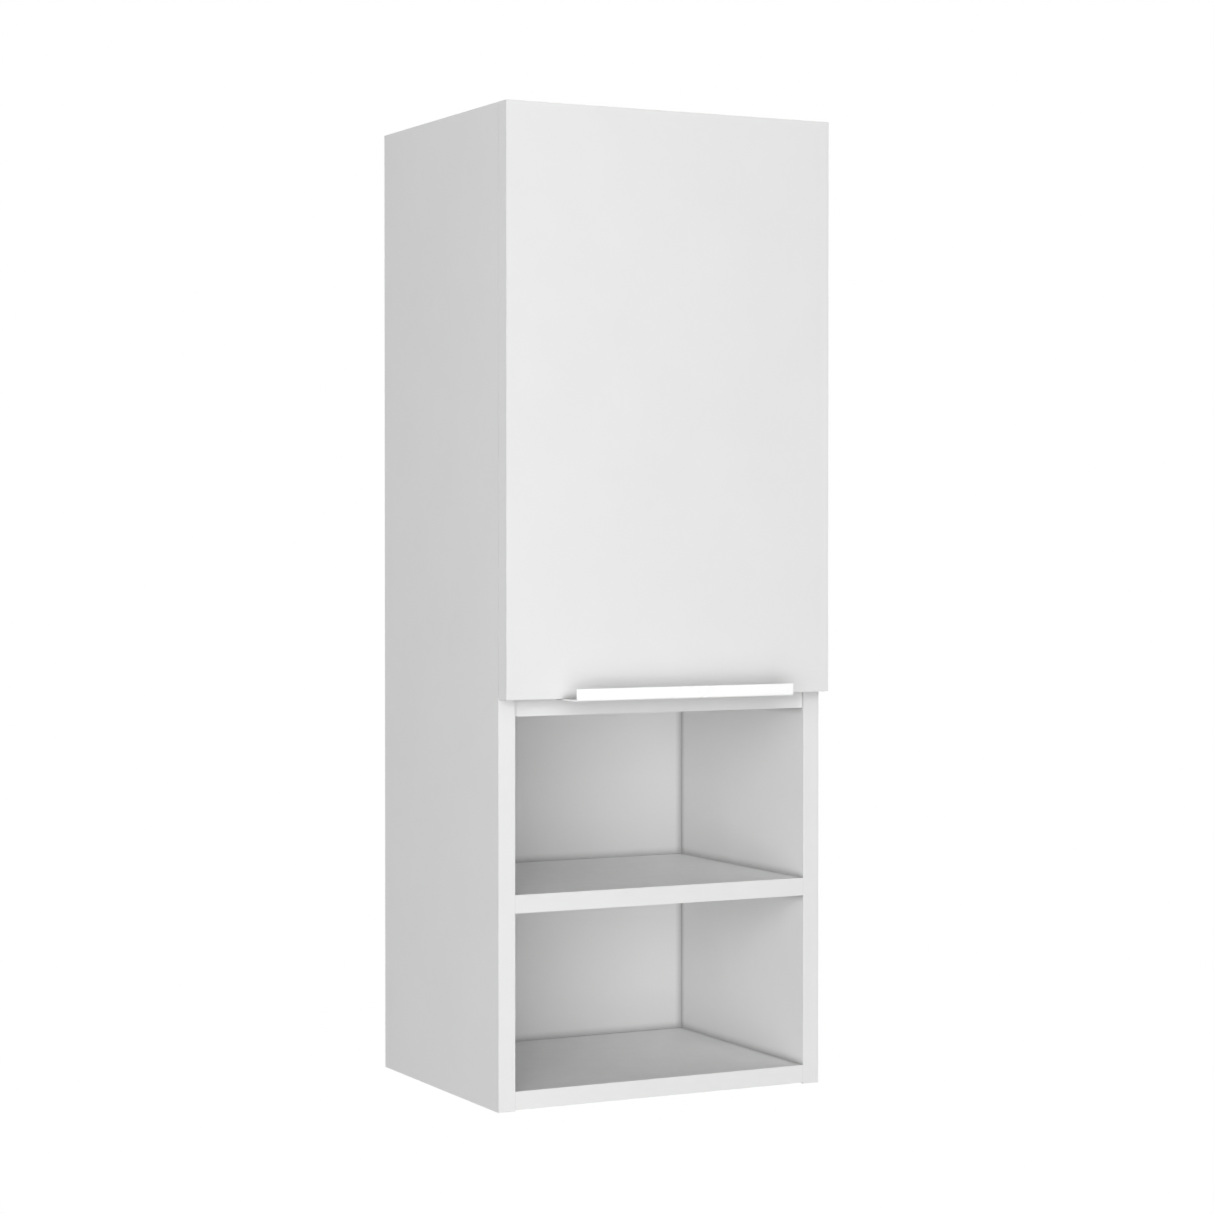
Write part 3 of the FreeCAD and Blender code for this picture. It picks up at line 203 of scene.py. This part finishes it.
@dataclass(frozen=True)
class WhiteMelamine(Finish):
    """White melamine paper pressed on particle board, with a white edge band.

    The press plate leaves a fine pearl grain, which breaks up reflections into a satin.
    The paper varies a little over a hand's width, and the band shows as a hairline by the edge.
    Where faces close in on each other, painted shade darkens the colour to a soft dark line; the
    front share tells how much of it the faces towards the room take.
    """

    name: str = "white_melamine"
    colour: str = "#E4E4E4"
    shade: str = "#E0E0E0"
    band: str = "#D8D8D8"
    # painted shade: the colour that faces take where they close in on each other
    painted_shade: str = "#B4B4B4"
    roughness: float = 0.42
    pearl_mm: float = 1.4  # a press plate's grain is about 0.7 mm; drawn at twice that to show
    patch_mm: float = 60.0
    rub_mm: float = 14.0
    band_mm: float = 0.8
    # how far off a face still casts painted shade, in mm
    painted_shade_mm: float = 7.0
    # how much painted shade the faces towards the room take, from 0 to 1
    front_corner_shade: float = 0.0
    ior: float = 1.5

    def material(self) -> bpy.types.Material:
        """Build the melamine's nodes.

        Returns:
            The material.
        """
        material, tree, shader = self.start()
        shader.inputs["IOR"].default_value = self.ior
        coordinates = add_node(tree, "TexCoord")
        place = coordinates.outputs["Object"]
        patch = add_node(
            tree,
            "TexNoise",
            values={"Scale": per_metre(self.patch_mm), "Detail": 3.0, "Roughness": 0.55},
            links={"Vector": place},
        )
        rub = add_node(
            tree,
            "TexNoise",
            values={"Scale": per_metre(self.rub_mm), "Detail": 4.0, "Roughness": 0.6},
            links={"Vector": place},
        )
        pearl = add_node(
            tree,
            "TexVoronoi",
            settings={"feature": "SMOOTH_F1"},
            values={"Scale": per_metre(self.pearl_mm), "Smoothness": 0.9},
            links={"Vector": place},
        )
        rounded = add_node(
            tree, "Bevel", settings={"samples": 4}, values={"Radius": self.band_mm / 1000}
        )
        geometry = add_node(tree, "NewGeometry")
        facing = add_node(
            tree,
            "VectorMath",
            settings={"operation": "DOT_PRODUCT"},
            links={FIRST: rounded.outputs["Normal"], SECOND: geometry.outputs["Normal"]},
        )
        near_edge = add_node(
            tree,
            "MapRange",
            values={"From Min": 0.9995, "From Max": 0.97, "To Min": 0.0, "To Max": 1.0},
            links={"Value": facing.outputs["Value"]},
        )
        paper = add_node(
            tree,
            "Mix",
            settings={"data_type": "RGBA"},
            values={MIX_A: linear(self.colour), MIX_B: linear(self.shade)},
            links={MIX_FACTOR: patch.outputs["Fac"]},
        )
        banded = add_node(
            tree,
            "Mix",
            settings={"data_type": "RGBA"},
            values={MIX_B: linear(self.band)},
            links={
                MIX_FACTOR: near_edge.outputs["Result"],
                MIX_A: paper.outputs[MIX_RESULT],
            },
        )
        # painted shade where faces close in, fading on the faces towards the room as set above
        corner_shade = self.joint_shade(tree, self.painted_shade_mm)
        depth = self.not_front(tree, coordinates, self.front_corner_shade)
        feed(corner_shade, {"To Max": depth.outputs["Result"]})
        corner_shaded = add_node(
            tree,
            "Mix",
            settings={"data_type": "RGBA"},
            values={MIX_B: linear(self.painted_shade)},
            links={
                MIX_FACTOR: corner_shade.outputs["Result"],
                MIX_A: banded.outputs[MIX_RESULT],
            },
        )
        sheen = add_node(
            tree,
            "MapRange",
            values={
                "From Min": 0.3,
                "From Max": 0.7,
                "To Min": self.roughness - 0.06,
                "To Max": self.roughness + 0.08,
            },
            links={"Value": rub.outputs["Fac"]},
        )
        grain = add_node(
            tree,
            "Bump",
            values={"Strength": 0.25, "Distance": 0.00008},
            links={"Height": pearl.outputs["Distance"]},
        )
        feed(
            shader,
            {
                "Base Color": corner_shaded.outputs[MIX_RESULT],
                "Roughness": sheen.outputs["Result"],
                "Normal": grain.outputs["Normal"],
            },
        )
        return material


@dataclass(frozen=True)
class PaintedHardboard(Finish):
    """Thin wet-process fibreboard, painted white on the side that faces the niches.

    The front is a flat white with a faint fibre telegraphing through, and painted shade darkens it
    where faces close in; the rear is bare brown board with a mesh of darker fibres, as the press
    screen leaves it.
    """

    name: str = "painted_hardboard"
    colour: str = "#E2E2E2"
    # painted shade: the colour the white front takes where faces close in
    painted_shade: str = "#B4B4B4"
    rear: str = "#8C6A49"
    fibre: str = "#6B4E34"
    roughness: float = 0.5
    fibre_mm: float = 1.6
    cloud_mm: float = 22.0
    painted_shade_mm: float = 7.0
    ior: float = 1.48

    def material(self) -> bpy.types.Material:
        """Build the hardboard's nodes.

        Returns:
            The material.
        """
        material, tree, shader = self.start()
        shader.inputs["IOR"].default_value = self.ior
        coordinates = add_node(tree, "TexCoord")
        stretched = add_node(
            tree,
            "Mapping",
            values={"Scale": (1.0, 1.0, 0.35)},
            links={"Vector": coordinates.outputs["Object"]},
        )
        fibres = add_node(
            tree,
            "TexNoise",
            values={"Scale": per_metre(self.fibre_mm), "Detail": 5.0, "Roughness": 0.65},
            links={"Vector": stretched.outputs["Vector"]},
        )
        clouds = add_node(
            tree,
            "TexNoise",
            values={"Scale": per_metre(self.cloud_mm), "Detail": 4.0},
            links={"Vector": coordinates.outputs["Object"]},
        )
        bare = add_node(
            tree,
            "Mix",
            settings={"data_type": "RGBA"},
            values={MIX_A: linear(self.rear), MIX_B: linear(self.fibre)},
            links={MIX_FACTOR: fibres.outputs["Fac"]},
        )
        bare_side = self.not_front(tree, coordinates)
        # painted shade on the white front where faces close in
        corner_shade = self.joint_shade(tree, self.painted_shade_mm)
        painted = add_node(
            tree,
            "Mix",
            settings={"data_type": "RGBA"},
            values={MIX_A: linear(self.colour), MIX_B: linear(self.painted_shade)},
            links={MIX_FACTOR: corner_shade.outputs["Result"]},
        )
        colour = add_node(
            tree,
            "Mix",
            settings={"data_type": "RGBA"},
            links={
                MIX_FACTOR: bare_side.outputs["Result"],
                MIX_A: painted.outputs[MIX_RESULT],
                MIX_B: bare.outputs[MIX_RESULT],
            },
        )
        sheen = add_node(
            tree,
            "MapRange",
            values={"To Min": self.roughness - 0.05, "To Max": self.roughness + 0.2},
            links={"Value": clouds.outputs["Fac"]},
        )
        relief = add_node(
            tree,
            "Bump",
            values={"Strength": 0.2, "Distance": 0.0001},
            links={"Height": fibres.outputs["Fac"]},
        )
        feed(
            shader,
            {
                "Base Color": colour.outputs[MIX_RESULT],
                "Roughness": sheen.outputs["Result"],
                "Normal": relief.outputs["Normal"],
            },
        )
        return material


@dataclass(frozen=True)
class WhitePowderCoat(Finish):
    """Gloss white polyester powder baked on an aluminium profile.

    It is brighter and glossier than the melamine, with a slight orange peel from the baking. The
    channel behind the lip is greyer than the front, with painted shade where its faces close in.
    """

    name: str = "white_powder_coat"
    colour: str = "#FDFDFD"
    touched: str = "#FAFAFA"
    # painted shade: the grey the channel behind the lip takes
    painted_shade: str = "#9A9A9A"
    roughness: float = 0.2
    peel_mm: float = 2.2
    touch_mm: float = 30.0
    painted_shade_mm: float = 24.0
    ior: float = 1.52

    def material(self) -> bpy.types.Material:
        """Build the powder coat's nodes.

        Returns:
            The material.
        """
        material, tree, shader = self.start()
        shader.inputs["IOR"].default_value = self.ior
        place = add_node(tree, "TexCoord").outputs["Object"]
        peel = add_node(
            tree,
            "TexNoise",
            values={"Scale": per_metre(self.peel_mm), "Detail": 1.5, "Roughness": 0.4},
            links={"Vector": place},
        )
        touch = add_node(
            tree,
            "TexNoise",
            values={"Scale": per_metre(self.touch_mm), "Detail": 3.0},
            links={"Vector": place},
        )
        colour = add_node(
            tree,
            "Mix",
            settings={"data_type": "RGBA"},
            values={MIX_A: linear(self.colour), MIX_B: linear(self.touched)},
            links={MIX_FACTOR: touch.outputs["Fac"]},
        )
        # painted shade in the channel behind the lip
        channel = self.joint_shade(tree, self.painted_shade_mm, clear=0.9, full=0.45)
        channel_shaded = add_node(
            tree,
            "Mix",
            settings={"data_type": "RGBA"},
            values={MIX_B: linear(self.painted_shade)},
            links={
                MIX_FACTOR: channel.outputs["Result"],
                MIX_A: colour.outputs[MIX_RESULT],
            },
        )
        sheen = add_node(
            tree,
            "MapRange",
            values={
                "From Min": 0.3,
                "From Max": 0.7,
                "To Min": self.roughness - 0.05,
                "To Max": self.roughness + 0.1,
            },
            links={"Value": touch.outputs["Fac"]},
        )
        surface = add_node(
            tree,
            "Bump",
            values={"Strength": 0.15, "Distance": 0.0001},
            links={"Height": peel.outputs["Fac"]},
        )
        feed(
            shader,
            {
                "Base Color": channel_shaded.outputs[MIX_RESULT],
                "Roughness": sheen.outputs["Result"],
                "Normal": surface.outputs["Normal"],
            },
        )
        return material


@dataclass(frozen=True)
class PlatedSteel(Finish):
    """Steel under a thin bright nickel plate.

    The fine lines of rolling and drawing run along Y and show through the plate. The plate is a
    shade warmer and duller where fingers and neighbours have rubbed it.
    """

    name: str = "plated_steel"
    colour: str = "#D6D4CE"
    rubbed: str = "#C6C3BB"
    roughness: float = 0.26
    line_mm: float = 0.5  # rolling lines are about 0.05 mm apart; drawn ten times coarser to show
    smear_mm: float = 9.0
    stretch: tuple[float, float, float] = (1.0, 0.06, 1.0)

    def material(self) -> bpy.types.Material:
        """Build the plated steel's nodes.

        Returns:
            The material.
        """
        material, tree, shader = self.start()
        shader.inputs["Metallic"].default_value = 1.0
        place = add_node(tree, "TexCoord").outputs["Object"]
        drawn = add_node(tree, "Mapping", values={"Scale": self.stretch}, links={"Vector": place})
        lines = add_node(
            tree,
            "TexNoise",
            values={"Scale": per_metre(self.line_mm), "Detail": 3.0, "Roughness": 0.7},
            links={"Vector": drawn.outputs["Vector"]},
        )
        smear = add_node(
            tree,
            "TexNoise",
            values={"Scale": per_metre(self.smear_mm), "Detail": 5.0, "Roughness": 0.6},
            links={"Vector": place},
        )
        worn = add_node(
            tree,
            "MapRange",
            values={"From Min": 0.5, "From Max": 0.75},
            links={"Value": smear.outputs["Fac"]},
        )
        colour = add_node(
            tree,
            "Mix",
            settings={"data_type": "RGBA"},
            values={MIX_A: linear(self.colour), MIX_B: linear(self.rubbed)},
            links={MIX_FACTOR: worn.outputs["Result"]},
        )
        sheen = add_node(
            tree,
            "MapRange",
            values={
                "From Min": 0.25,
                "From Max": 0.75,
                "To Min": self.roughness - 0.06,
                "To Max": self.roughness + 0.10,
            },
            links={"Value": smear.outputs["Fac"]},
        )
        relief = add_node(
            tree,
            "Bump",
            values={"Strength": 0.12, "Distance": 0.00005},
            links={"Height": lines.outputs["Fac"]},
        )
        feed(
            shader,
            {
                "Base Color": colour.outputs[MIX_RESULT],
                "Roughness": sheen.outputs["Result"],
                "Normal": relief.outputs["Normal"],
            },
        )
        return material


@dataclass(frozen=True)
class CastZinc(Finish):
    """Zinc alloy, die cast and barrel finished.

    It is greyer than plate and softly mottled: the tumbling leaves a fine peened grain, and the
    mould's chilled skin shows as cloudy patches.
    """

    name: str = "cast_zinc"
    colour: str = "#B4B6B8"
    chilled: str = "#989B9E"
    roughness: float = 0.4
    peen_mm: float = 0.8
    cloud_mm: float = 6.0

    def material(self) -> bpy.types.Material:
        """Build the cast zinc's nodes.

        Returns:
            The material.
        """
        material, tree, shader = self.start()
        shader.inputs["Metallic"].default_value = 1.0
        place = add_node(tree, "TexCoord").outputs["Object"]
        peened = add_node(
            tree,
            "TexVoronoi",
            settings={"feature": "SMOOTH_F1"},
            values={"Scale": per_metre(self.peen_mm), "Smoothness": 1.0},
            links={"Vector": place},
        )
        clouds = add_node(
            tree,
            "TexNoise",
            values={"Scale": per_metre(self.cloud_mm), "Detail": 4.0, "Roughness": 0.6},
            links={"Vector": place},
        )
        colour = add_node(
            tree,
            "Mix",
            settings={"data_type": "RGBA"},
            values={MIX_A: linear(self.colour), MIX_B: linear(self.chilled)},
            links={MIX_FACTOR: clouds.outputs["Fac"]},
        )
        sheen = add_node(
            tree,
            "MapRange",
            values={"To Min": self.roughness - 0.1, "To Max": self.roughness + 0.15},
            links={"Value": clouds.outputs["Fac"]},
        )
        relief = add_node(
            tree,
            "Bump",
            values={"Strength": 0.25, "Distance": 0.0001},
            links={"Height": peened.outputs["Distance"]},
        )
        feed(
            shader,
            {
                "Base Color": colour.outputs[MIX_RESULT],
                "Roughness": sheen.outputs["Result"],
                "Normal": relief.outputs["Normal"],
            },
        )
        return material


@dataclass(frozen=True)
class Beech(Finish):
    """Plain beech dowel stock.

    Its grain runs along the dowel, in X here, with the short dark flecks that beech has.
    """

    name: str = "beech"
    colour: str = "#D2AC7A"
    fleck: str = "#A97F50"
    roughness: float = 0.55
    ring_mm: float = 1.8
    fleck_mm: float = 0.7
    ior: float = 1.5

    def material(self) -> bpy.types.Material:
        """Build the beech's nodes.

        Returns:
            The material.
        """
        material, tree, shader = self.start()
        shader.inputs["IOR"].default_value = self.ior
        place = add_node(tree, "TexCoord").outputs["Object"]
        along = add_node(
            tree, "Mapping", values={"Scale": (0.08, 1.0, 1.0)}, links={"Vector": place}
        )
        rings = add_node(
            tree,
            "TexNoise",
            values={"Scale": per_metre(self.ring_mm), "Detail": 2.0, "Distortion": 0.4},
            links={"Vector": along.outputs["Vector"]},
        )
        flecks = add_node(
            tree,
            "TexNoise",
            values={"Scale": per_metre(self.fleck_mm), "Detail": 3.0},
            links={"Vector": along.outputs["Vector"]},
        )
        marked = add_node(
            tree,
            "MapRange",
            values={"From Min": 0.45, "From Max": 0.75},
            links={"Value": flecks.outputs["Fac"]},
        )
        colour = add_node(
            tree,
            "Mix",
            settings={"data_type": "RGBA"},
            values={MIX_A: linear(self.colour), MIX_B: linear(self.fleck)},
            links={MIX_FACTOR: marked.outputs["Result"]},
        )
        relief = add_node(
            tree,
            "Bump",
            values={"Strength": 0.3, "Distance": 0.0001},
            links={"Height": rings.outputs["Fac"]},
        )
        feed(
            shader,
            {
                "Base Color": colour.outputs[MIX_RESULT],
                "Normal": relief.outputs["Normal"],
            },
        )
        return material


@dataclass(frozen=True)
class ClearBumper(Finish):
    """Clear cast polyurethane, as on a sheet of stick-on bumpers.

    It is slightly yellow and milky, because light soaks into it, and it has picked up some dust.
    """

    name: str = "clear_polyurethane"
    colour: str = "#E6E4DC"
    dust: str = "#CFCDC6"
    roughness: float = 0.3
    dust_mm: float = 1.5
    ior: float = 1.5
    soak: float = 0.4
    soak_reach: tuple[float, float, float] = (0.002, 0.002, 0.0015)

    def material(self) -> bpy.types.Material:
        """Build the polyurethane's nodes.

        Returns:
            The material.
        """
        material, tree, shader = self.start()
        shader.inputs["IOR"].default_value = self.ior
        shader.inputs["Subsurface Weight"].default_value = self.soak
        shader.inputs["Subsurface Radius"].default_value = self.soak_reach
        place = add_node(tree, "TexCoord").outputs["Object"]
        specks = add_node(
            tree,
            "TexNoise",
            values={"Scale": per_metre(self.dust_mm), "Detail": 4.0, "Roughness": 0.7},
            links={"Vector": place},
        )
        colour = add_node(
            tree,
            "Mix",
            settings={"data_type": "RGBA"},
            values={MIX_A: linear(self.colour), MIX_B: linear(self.dust)},
            links={MIX_FACTOR: specks.outputs["Fac"]},
        )
        sheen = add_node(
            tree,
            "MapRange",
            values={"To Min": self.roughness - 0.1, "To Max": self.roughness + 0.2},
            links={"Value": specks.outputs["Fac"]},
        )
        feed(
            shader,
            {
                "Base Color": colour.outputs[MIX_RESULT],
                "Roughness": sheen.outputs["Result"],
            },
        )
        return material


@dataclass
class Group:
    """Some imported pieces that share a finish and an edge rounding."""

    nodes: tuple[str, ...]
    slot: Slot
    finish: Finish
    arris: float = 0.0  # in metres; at 0 the edges stay as they are packed
    facets: int = 2

    def round_edges(self, node: bpy.types.Object) -> None:
        """Round the sharp edges of one piece.

        Args:
            node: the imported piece; only modifiers are added to it.
        """
        flat = node.modifiers.new("flat_faces", "DECIMATE")
        flat.decimate_type = "DISSOLVE"
        flat.angle_limit = math.radians(FLAT_DEG)
        arris = node.modifiers.new("arris", "BEVEL")
        arris.width = self.arris
        arris.segments = self.facets
        arris.limit_method = "ANGLE"
        arris.angle_limit = math.radians(SHARP_DEG)
        arris.use_clamp_overlap = True
        arris.harden_normals = True
        arris.miter_outer = "MITER_ARC"

    def dress(self) -> None:
        """Give every piece of the group its finish and its rounding."""
        material = self.finish.material()
        for name in self.nodes:
            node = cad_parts[name]
            node.data.materials.clear()
            node.data.materials.append(material)
            if self.arris > 0:
                self.round_edges(node)
            rounding = self.arris * 1000
            log.info("%s (%s): %s, %.2f mm edges", name, self.slot.value, material.name, rounding)


@dataclass
class Carcass:
    """The boards that stay on the wall, with the fittings in them."""

    boards: tuple[str, ...] = (
        "left_side_panel",
        "right_side_panel",
        "top_panel",
        "divider_panel",
        "niche_shelf",
        "bottom_panel",
        "hanging_rail",
        "lower_rail",
        "inner_shelf",
    )
    board_arris: float = 0.0003
    back_arris: float = 0.0002

    def groups(self) -> list[Group]:
        """List the carcass's pieces by finish.

        Returns:
            One group for each finish and rounding.
        """
        return [
            Group(self.boards, Slot.BOARD, WhiteMelamine(), self.board_arris),
            Group(("back_panel",), Slot.BACK, PaintedHardboard(), self.back_arris),
            Group(("cam_locks",), Slot.ZINC, CastZinc(name="cam_zinc")),
            Group(
                ("cam_bolts", "shelf_pins"),
                Slot.PLATED,
                PlatedSteel(name="fitting_steel", colour="#D6D6D4"),
            ),
            Group(("dowels",), Slot.BEECH, Beech()),
        ]


@dataclass
class Door:
    """The door board with its bumpers and its edge pull."""

    board_arris: float = 0.0003
    bumper_arris: float = 0.00015
    pull_arris: float = 0.0003
    moulded_facets: int = 3

    def groups(self) -> list[Group]:
        """List the door's pieces by finish.

        Returns:
            One group for each finish and rounding.
        """
        return [
            Group(
                ("door_panel",),
                Slot.BOARD,
                # the door's front takes the full painted shade, as above the pull
                WhiteMelamine(name="door_melamine", front_corner_shade=1.0),
                self.board_arris,
            ),
            Group(
                ("door_bumpers",),
                Slot.BUMPER,
                ClearBumper(),
                self.bumper_arris,
                self.moulded_facets,
            ),
            Group(
                ("edge_pull",),
                Slot.PULL,
                WhitePowderCoat(),
                self.pull_arris,
                self.moulded_facets,
            ),
            Group(("pull_screws",), Slot.PLATED, PlatedSteel(name="pull_screw_steel")),
        ]


@dataclass
class Hinge:
    """One cup hinge: cup and links of pressed steel on a cast plate."""

    level: str
    pressed: tuple[str, ...] = ("hinge_cup", "outer_link", "inner_link", "hinge_arm")
    turned: tuple[str, ...] = ("cup_pins", "arm_pins", "cup_screws", "plate_screws", "arm_screws")
    pressed_arris: float = 0.00015
    cast_arris: float = 0.0002

    def groups(self) -> list[Group]:
        """List the hinge's pieces by finish.

        Returns:
            One group for each finish and rounding.
        """
        return [
            Group(
                tuple(f"{self.level}_{part}" for part in self.pressed),
                Slot.PRESSED,
                PlatedSteel(name=f"{self.level}_hinge_steel"),
                self.pressed_arris,
            ),
            Group(
                tuple(f"{self.level}_{part}" for part in self.turned),
                Slot.PLATED,
                PlatedSteel(name=f"{self.level}_pin_steel", colour="#D6D6D4"),
            ),
            Group(
                (f"{self.level}_mounting_plate",),
                Slot.ZINC,
                CastZinc(name=f"{self.level}_plate_zinc"),
                self.cast_arris,
            ),
        ]


@dataclass(frozen=True)
class SweepPaper:
    """White paper sweep, lit until it is blank, so that nothing but the cabinet draws the eye."""

    name: str = "white_sweep"
    colour: str = "#FFFFFF"

    def material(self) -> bpy.types.Material:
        """Build the evenly lit paper.

        Returns:
            The material.
        """
        material = bpy.data.materials.new(self.name)
        material.use_nodes = True
        tree = material.node_tree
        tree.nodes.clear()
        paper = add_node(
            tree, "Emission", values={"Color": linear(self.colour), "Strength": 1.0}
        )
        add_node(tree, "OutputMaterial", links={"Surface": paper.outputs["Emission"]})
        return material


@dataclass(frozen=True)
class Softbox:
    """One square soft light: where it hangs, its size in metres and its power in watts."""

    name: str
    place: tuple[float, float, float]
    size: float
    power: float

    def hang(self, aim: Vector) -> None:
        """Hang the light so that it faces a point.

        Args:
            aim: the point, in the row frame.
        """
        lamp = bpy.data.lights.new(self.name, "AREA")
        lamp.shape = "SQUARE"
        lamp.size = self.size
        lamp.energy = self.power
        light = bpy.data.objects.new(self.name, lamp)
        bpy.context.scene.collection.objects.link(light)
        light.location = self.place
        light.rotation_euler = (aim - Vector(self.place)).to_track_quat("-Z", "Y").to_euler()


@dataclass
class Studio:
    """White sweep, a soft room light, softboxes in front, three fills behind, and the camera."""

    floor_level: float = -2.2
    sweep_radius: float = 14.0
    sweep_facets: int = 96
    sweep_weld: float = 0.001
    room_light: float = 0.24
    room_slope: float = -0.24
    boxes: tuple[Softbox, ...] = (
        Softbox("softbox_front", (-1.63, -3.32, -0.05), 3.0, 69.0),
        Softbox("softbox_left", (-2.41, -2.80, -0.36), 3.0, 41.5),
        Softbox("softbox_high", (-0.51, -3.02, 1.70), 2.4, 17.0),
        Softbox("softbox_low", (-0.57, -3.33, -1.88), 2.4, 21.0),
        Softbox("fill_right", (3.45, 0.95, -0.20), 2.4, 66.0),
        Softbox("fill_rear", (0.70, 3.60, 0.60), 2.4, 75.0),
        Softbox("fill_top", (1.30, 1.30, 3.20), 2.2, 42.0),
    )
    aim: tuple[float, float, float] = (0.0, -0.12, -0.36)
    camera_place: tuple[float, float, float] = (-1.1712, -2.4349, -0.2930)
    camera_yaw: float = 26.97
    camera_pitch: float = -0.89
    lens_mm: float = 89.35
    sensor_mm: float = 36.0
    rise: float = -0.0255
    nearest: float = 0.05
    farthest: float = 200.0

    def build_room(self) -> None:
        """Light the room softly: brightest from -X, fading evenly to nothing at +X."""
        world = bpy.data.worlds.new("soft_room")
        bpy.context.scene.world = world
        world.use_nodes = True
        tree = world.node_tree
        tree.nodes.clear()
        direction = add_node(tree, "TexCoord").outputs["Generated"]
        axes = add_node(tree, "SeparateXYZ", links={"Vector": direction})
        level = add_node(
            tree,
            "Math",
            settings={"operation": "MULTIPLY_ADD"},
            values={SECOND: self.room_slope, THIRD: self.room_light},
            links={FIRST: axes.outputs["X"]},
        )
        light = add_node(
            tree,
            "Background",
            values={"Color": linear("#FFFFFF")},
            links={"Strength": level.outputs["Value"]},
        )
        add_node(tree, "OutputWorld", links={"Surface": light.outputs["Background"]})

    def build_sweep(self) -> None:
        """Lay the plain white floor, well below the cabinet, and curve it up into a dome.

        The camera alone sees it, so the room light stays as even as build_room makes it.
        """
        mesh = bpy.data.meshes.new("white_floor")
        shape = bmesh.new()
        bmesh.ops.create_uvsphere(
            shape,
            u_segments=self.sweep_facets,
            v_segments=self.sweep_facets // 2,
            radius=self.sweep_radius,
        )
        for vertex in shape.verts:
            vertex.co.z = max(vertex.co.z, 0.0)
        bmesh.ops.remove_doubles(shape, verts=shape.verts, dist=self.sweep_weld)
        shape.to_mesh(mesh)
        shape.free()
        floor = bpy.data.objects.new("white_floor", mesh)
        bpy.context.scene.collection.objects.link(floor)
        floor.location = (0.0, 0.0, self.floor_level)
        floor.visible_diffuse = False
        floor.visible_glossy = False
        floor.visible_transmission = False
        floor.visible_shadow = False
        mesh.materials.append(SweepPaper().material())

    def build_camera(self) -> None:
        """Set the camera at the viewing angle."""
        data = bpy.data.cameras.new("camera")
        data.lens = self.lens_mm
        data.sensor_width = self.sensor_mm
        data.shift_y = self.rise
        data.clip_start = self.nearest
        data.clip_end = self.farthest
        camera = bpy.data.objects.new("camera", data)
        bpy.context.scene.collection.objects.link(camera)
        camera.location = self.camera_place
        tilt = math.radians(90.0 + self.camera_pitch)
        camera.rotation_euler = Euler((tilt, 0.0, -math.radians(self.camera_yaw)), "XYZ")
        bpy.context.scene.camera = camera

    def build(self) -> None:
        """Build the whole studio."""
        scene = bpy.context.scene
        scene.view_settings.view_transform = "Standard"
        self.build_room()
        self.build_sweep()
        for box in self.boxes:
            box.hang(Vector(self.aim))
        self.build_camera()
        log.info("studio: sweep, room light, %d softboxes and camera", len(self.boxes))


def main() -> None:
    """Dress the cabinet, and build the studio."""
    logging.basicConfig(level=logging.INFO, format="%(name)s %(message)s", stream=sys.stdout)
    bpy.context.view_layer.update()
    assemblies = [Carcass(), Door(), *(Hinge(level) for level in HINGES)]
    for assembly in assemblies:
        for group in assembly.groups():
            group.dress()
    Studio().build()


if __name__ == "__main__":
    main()
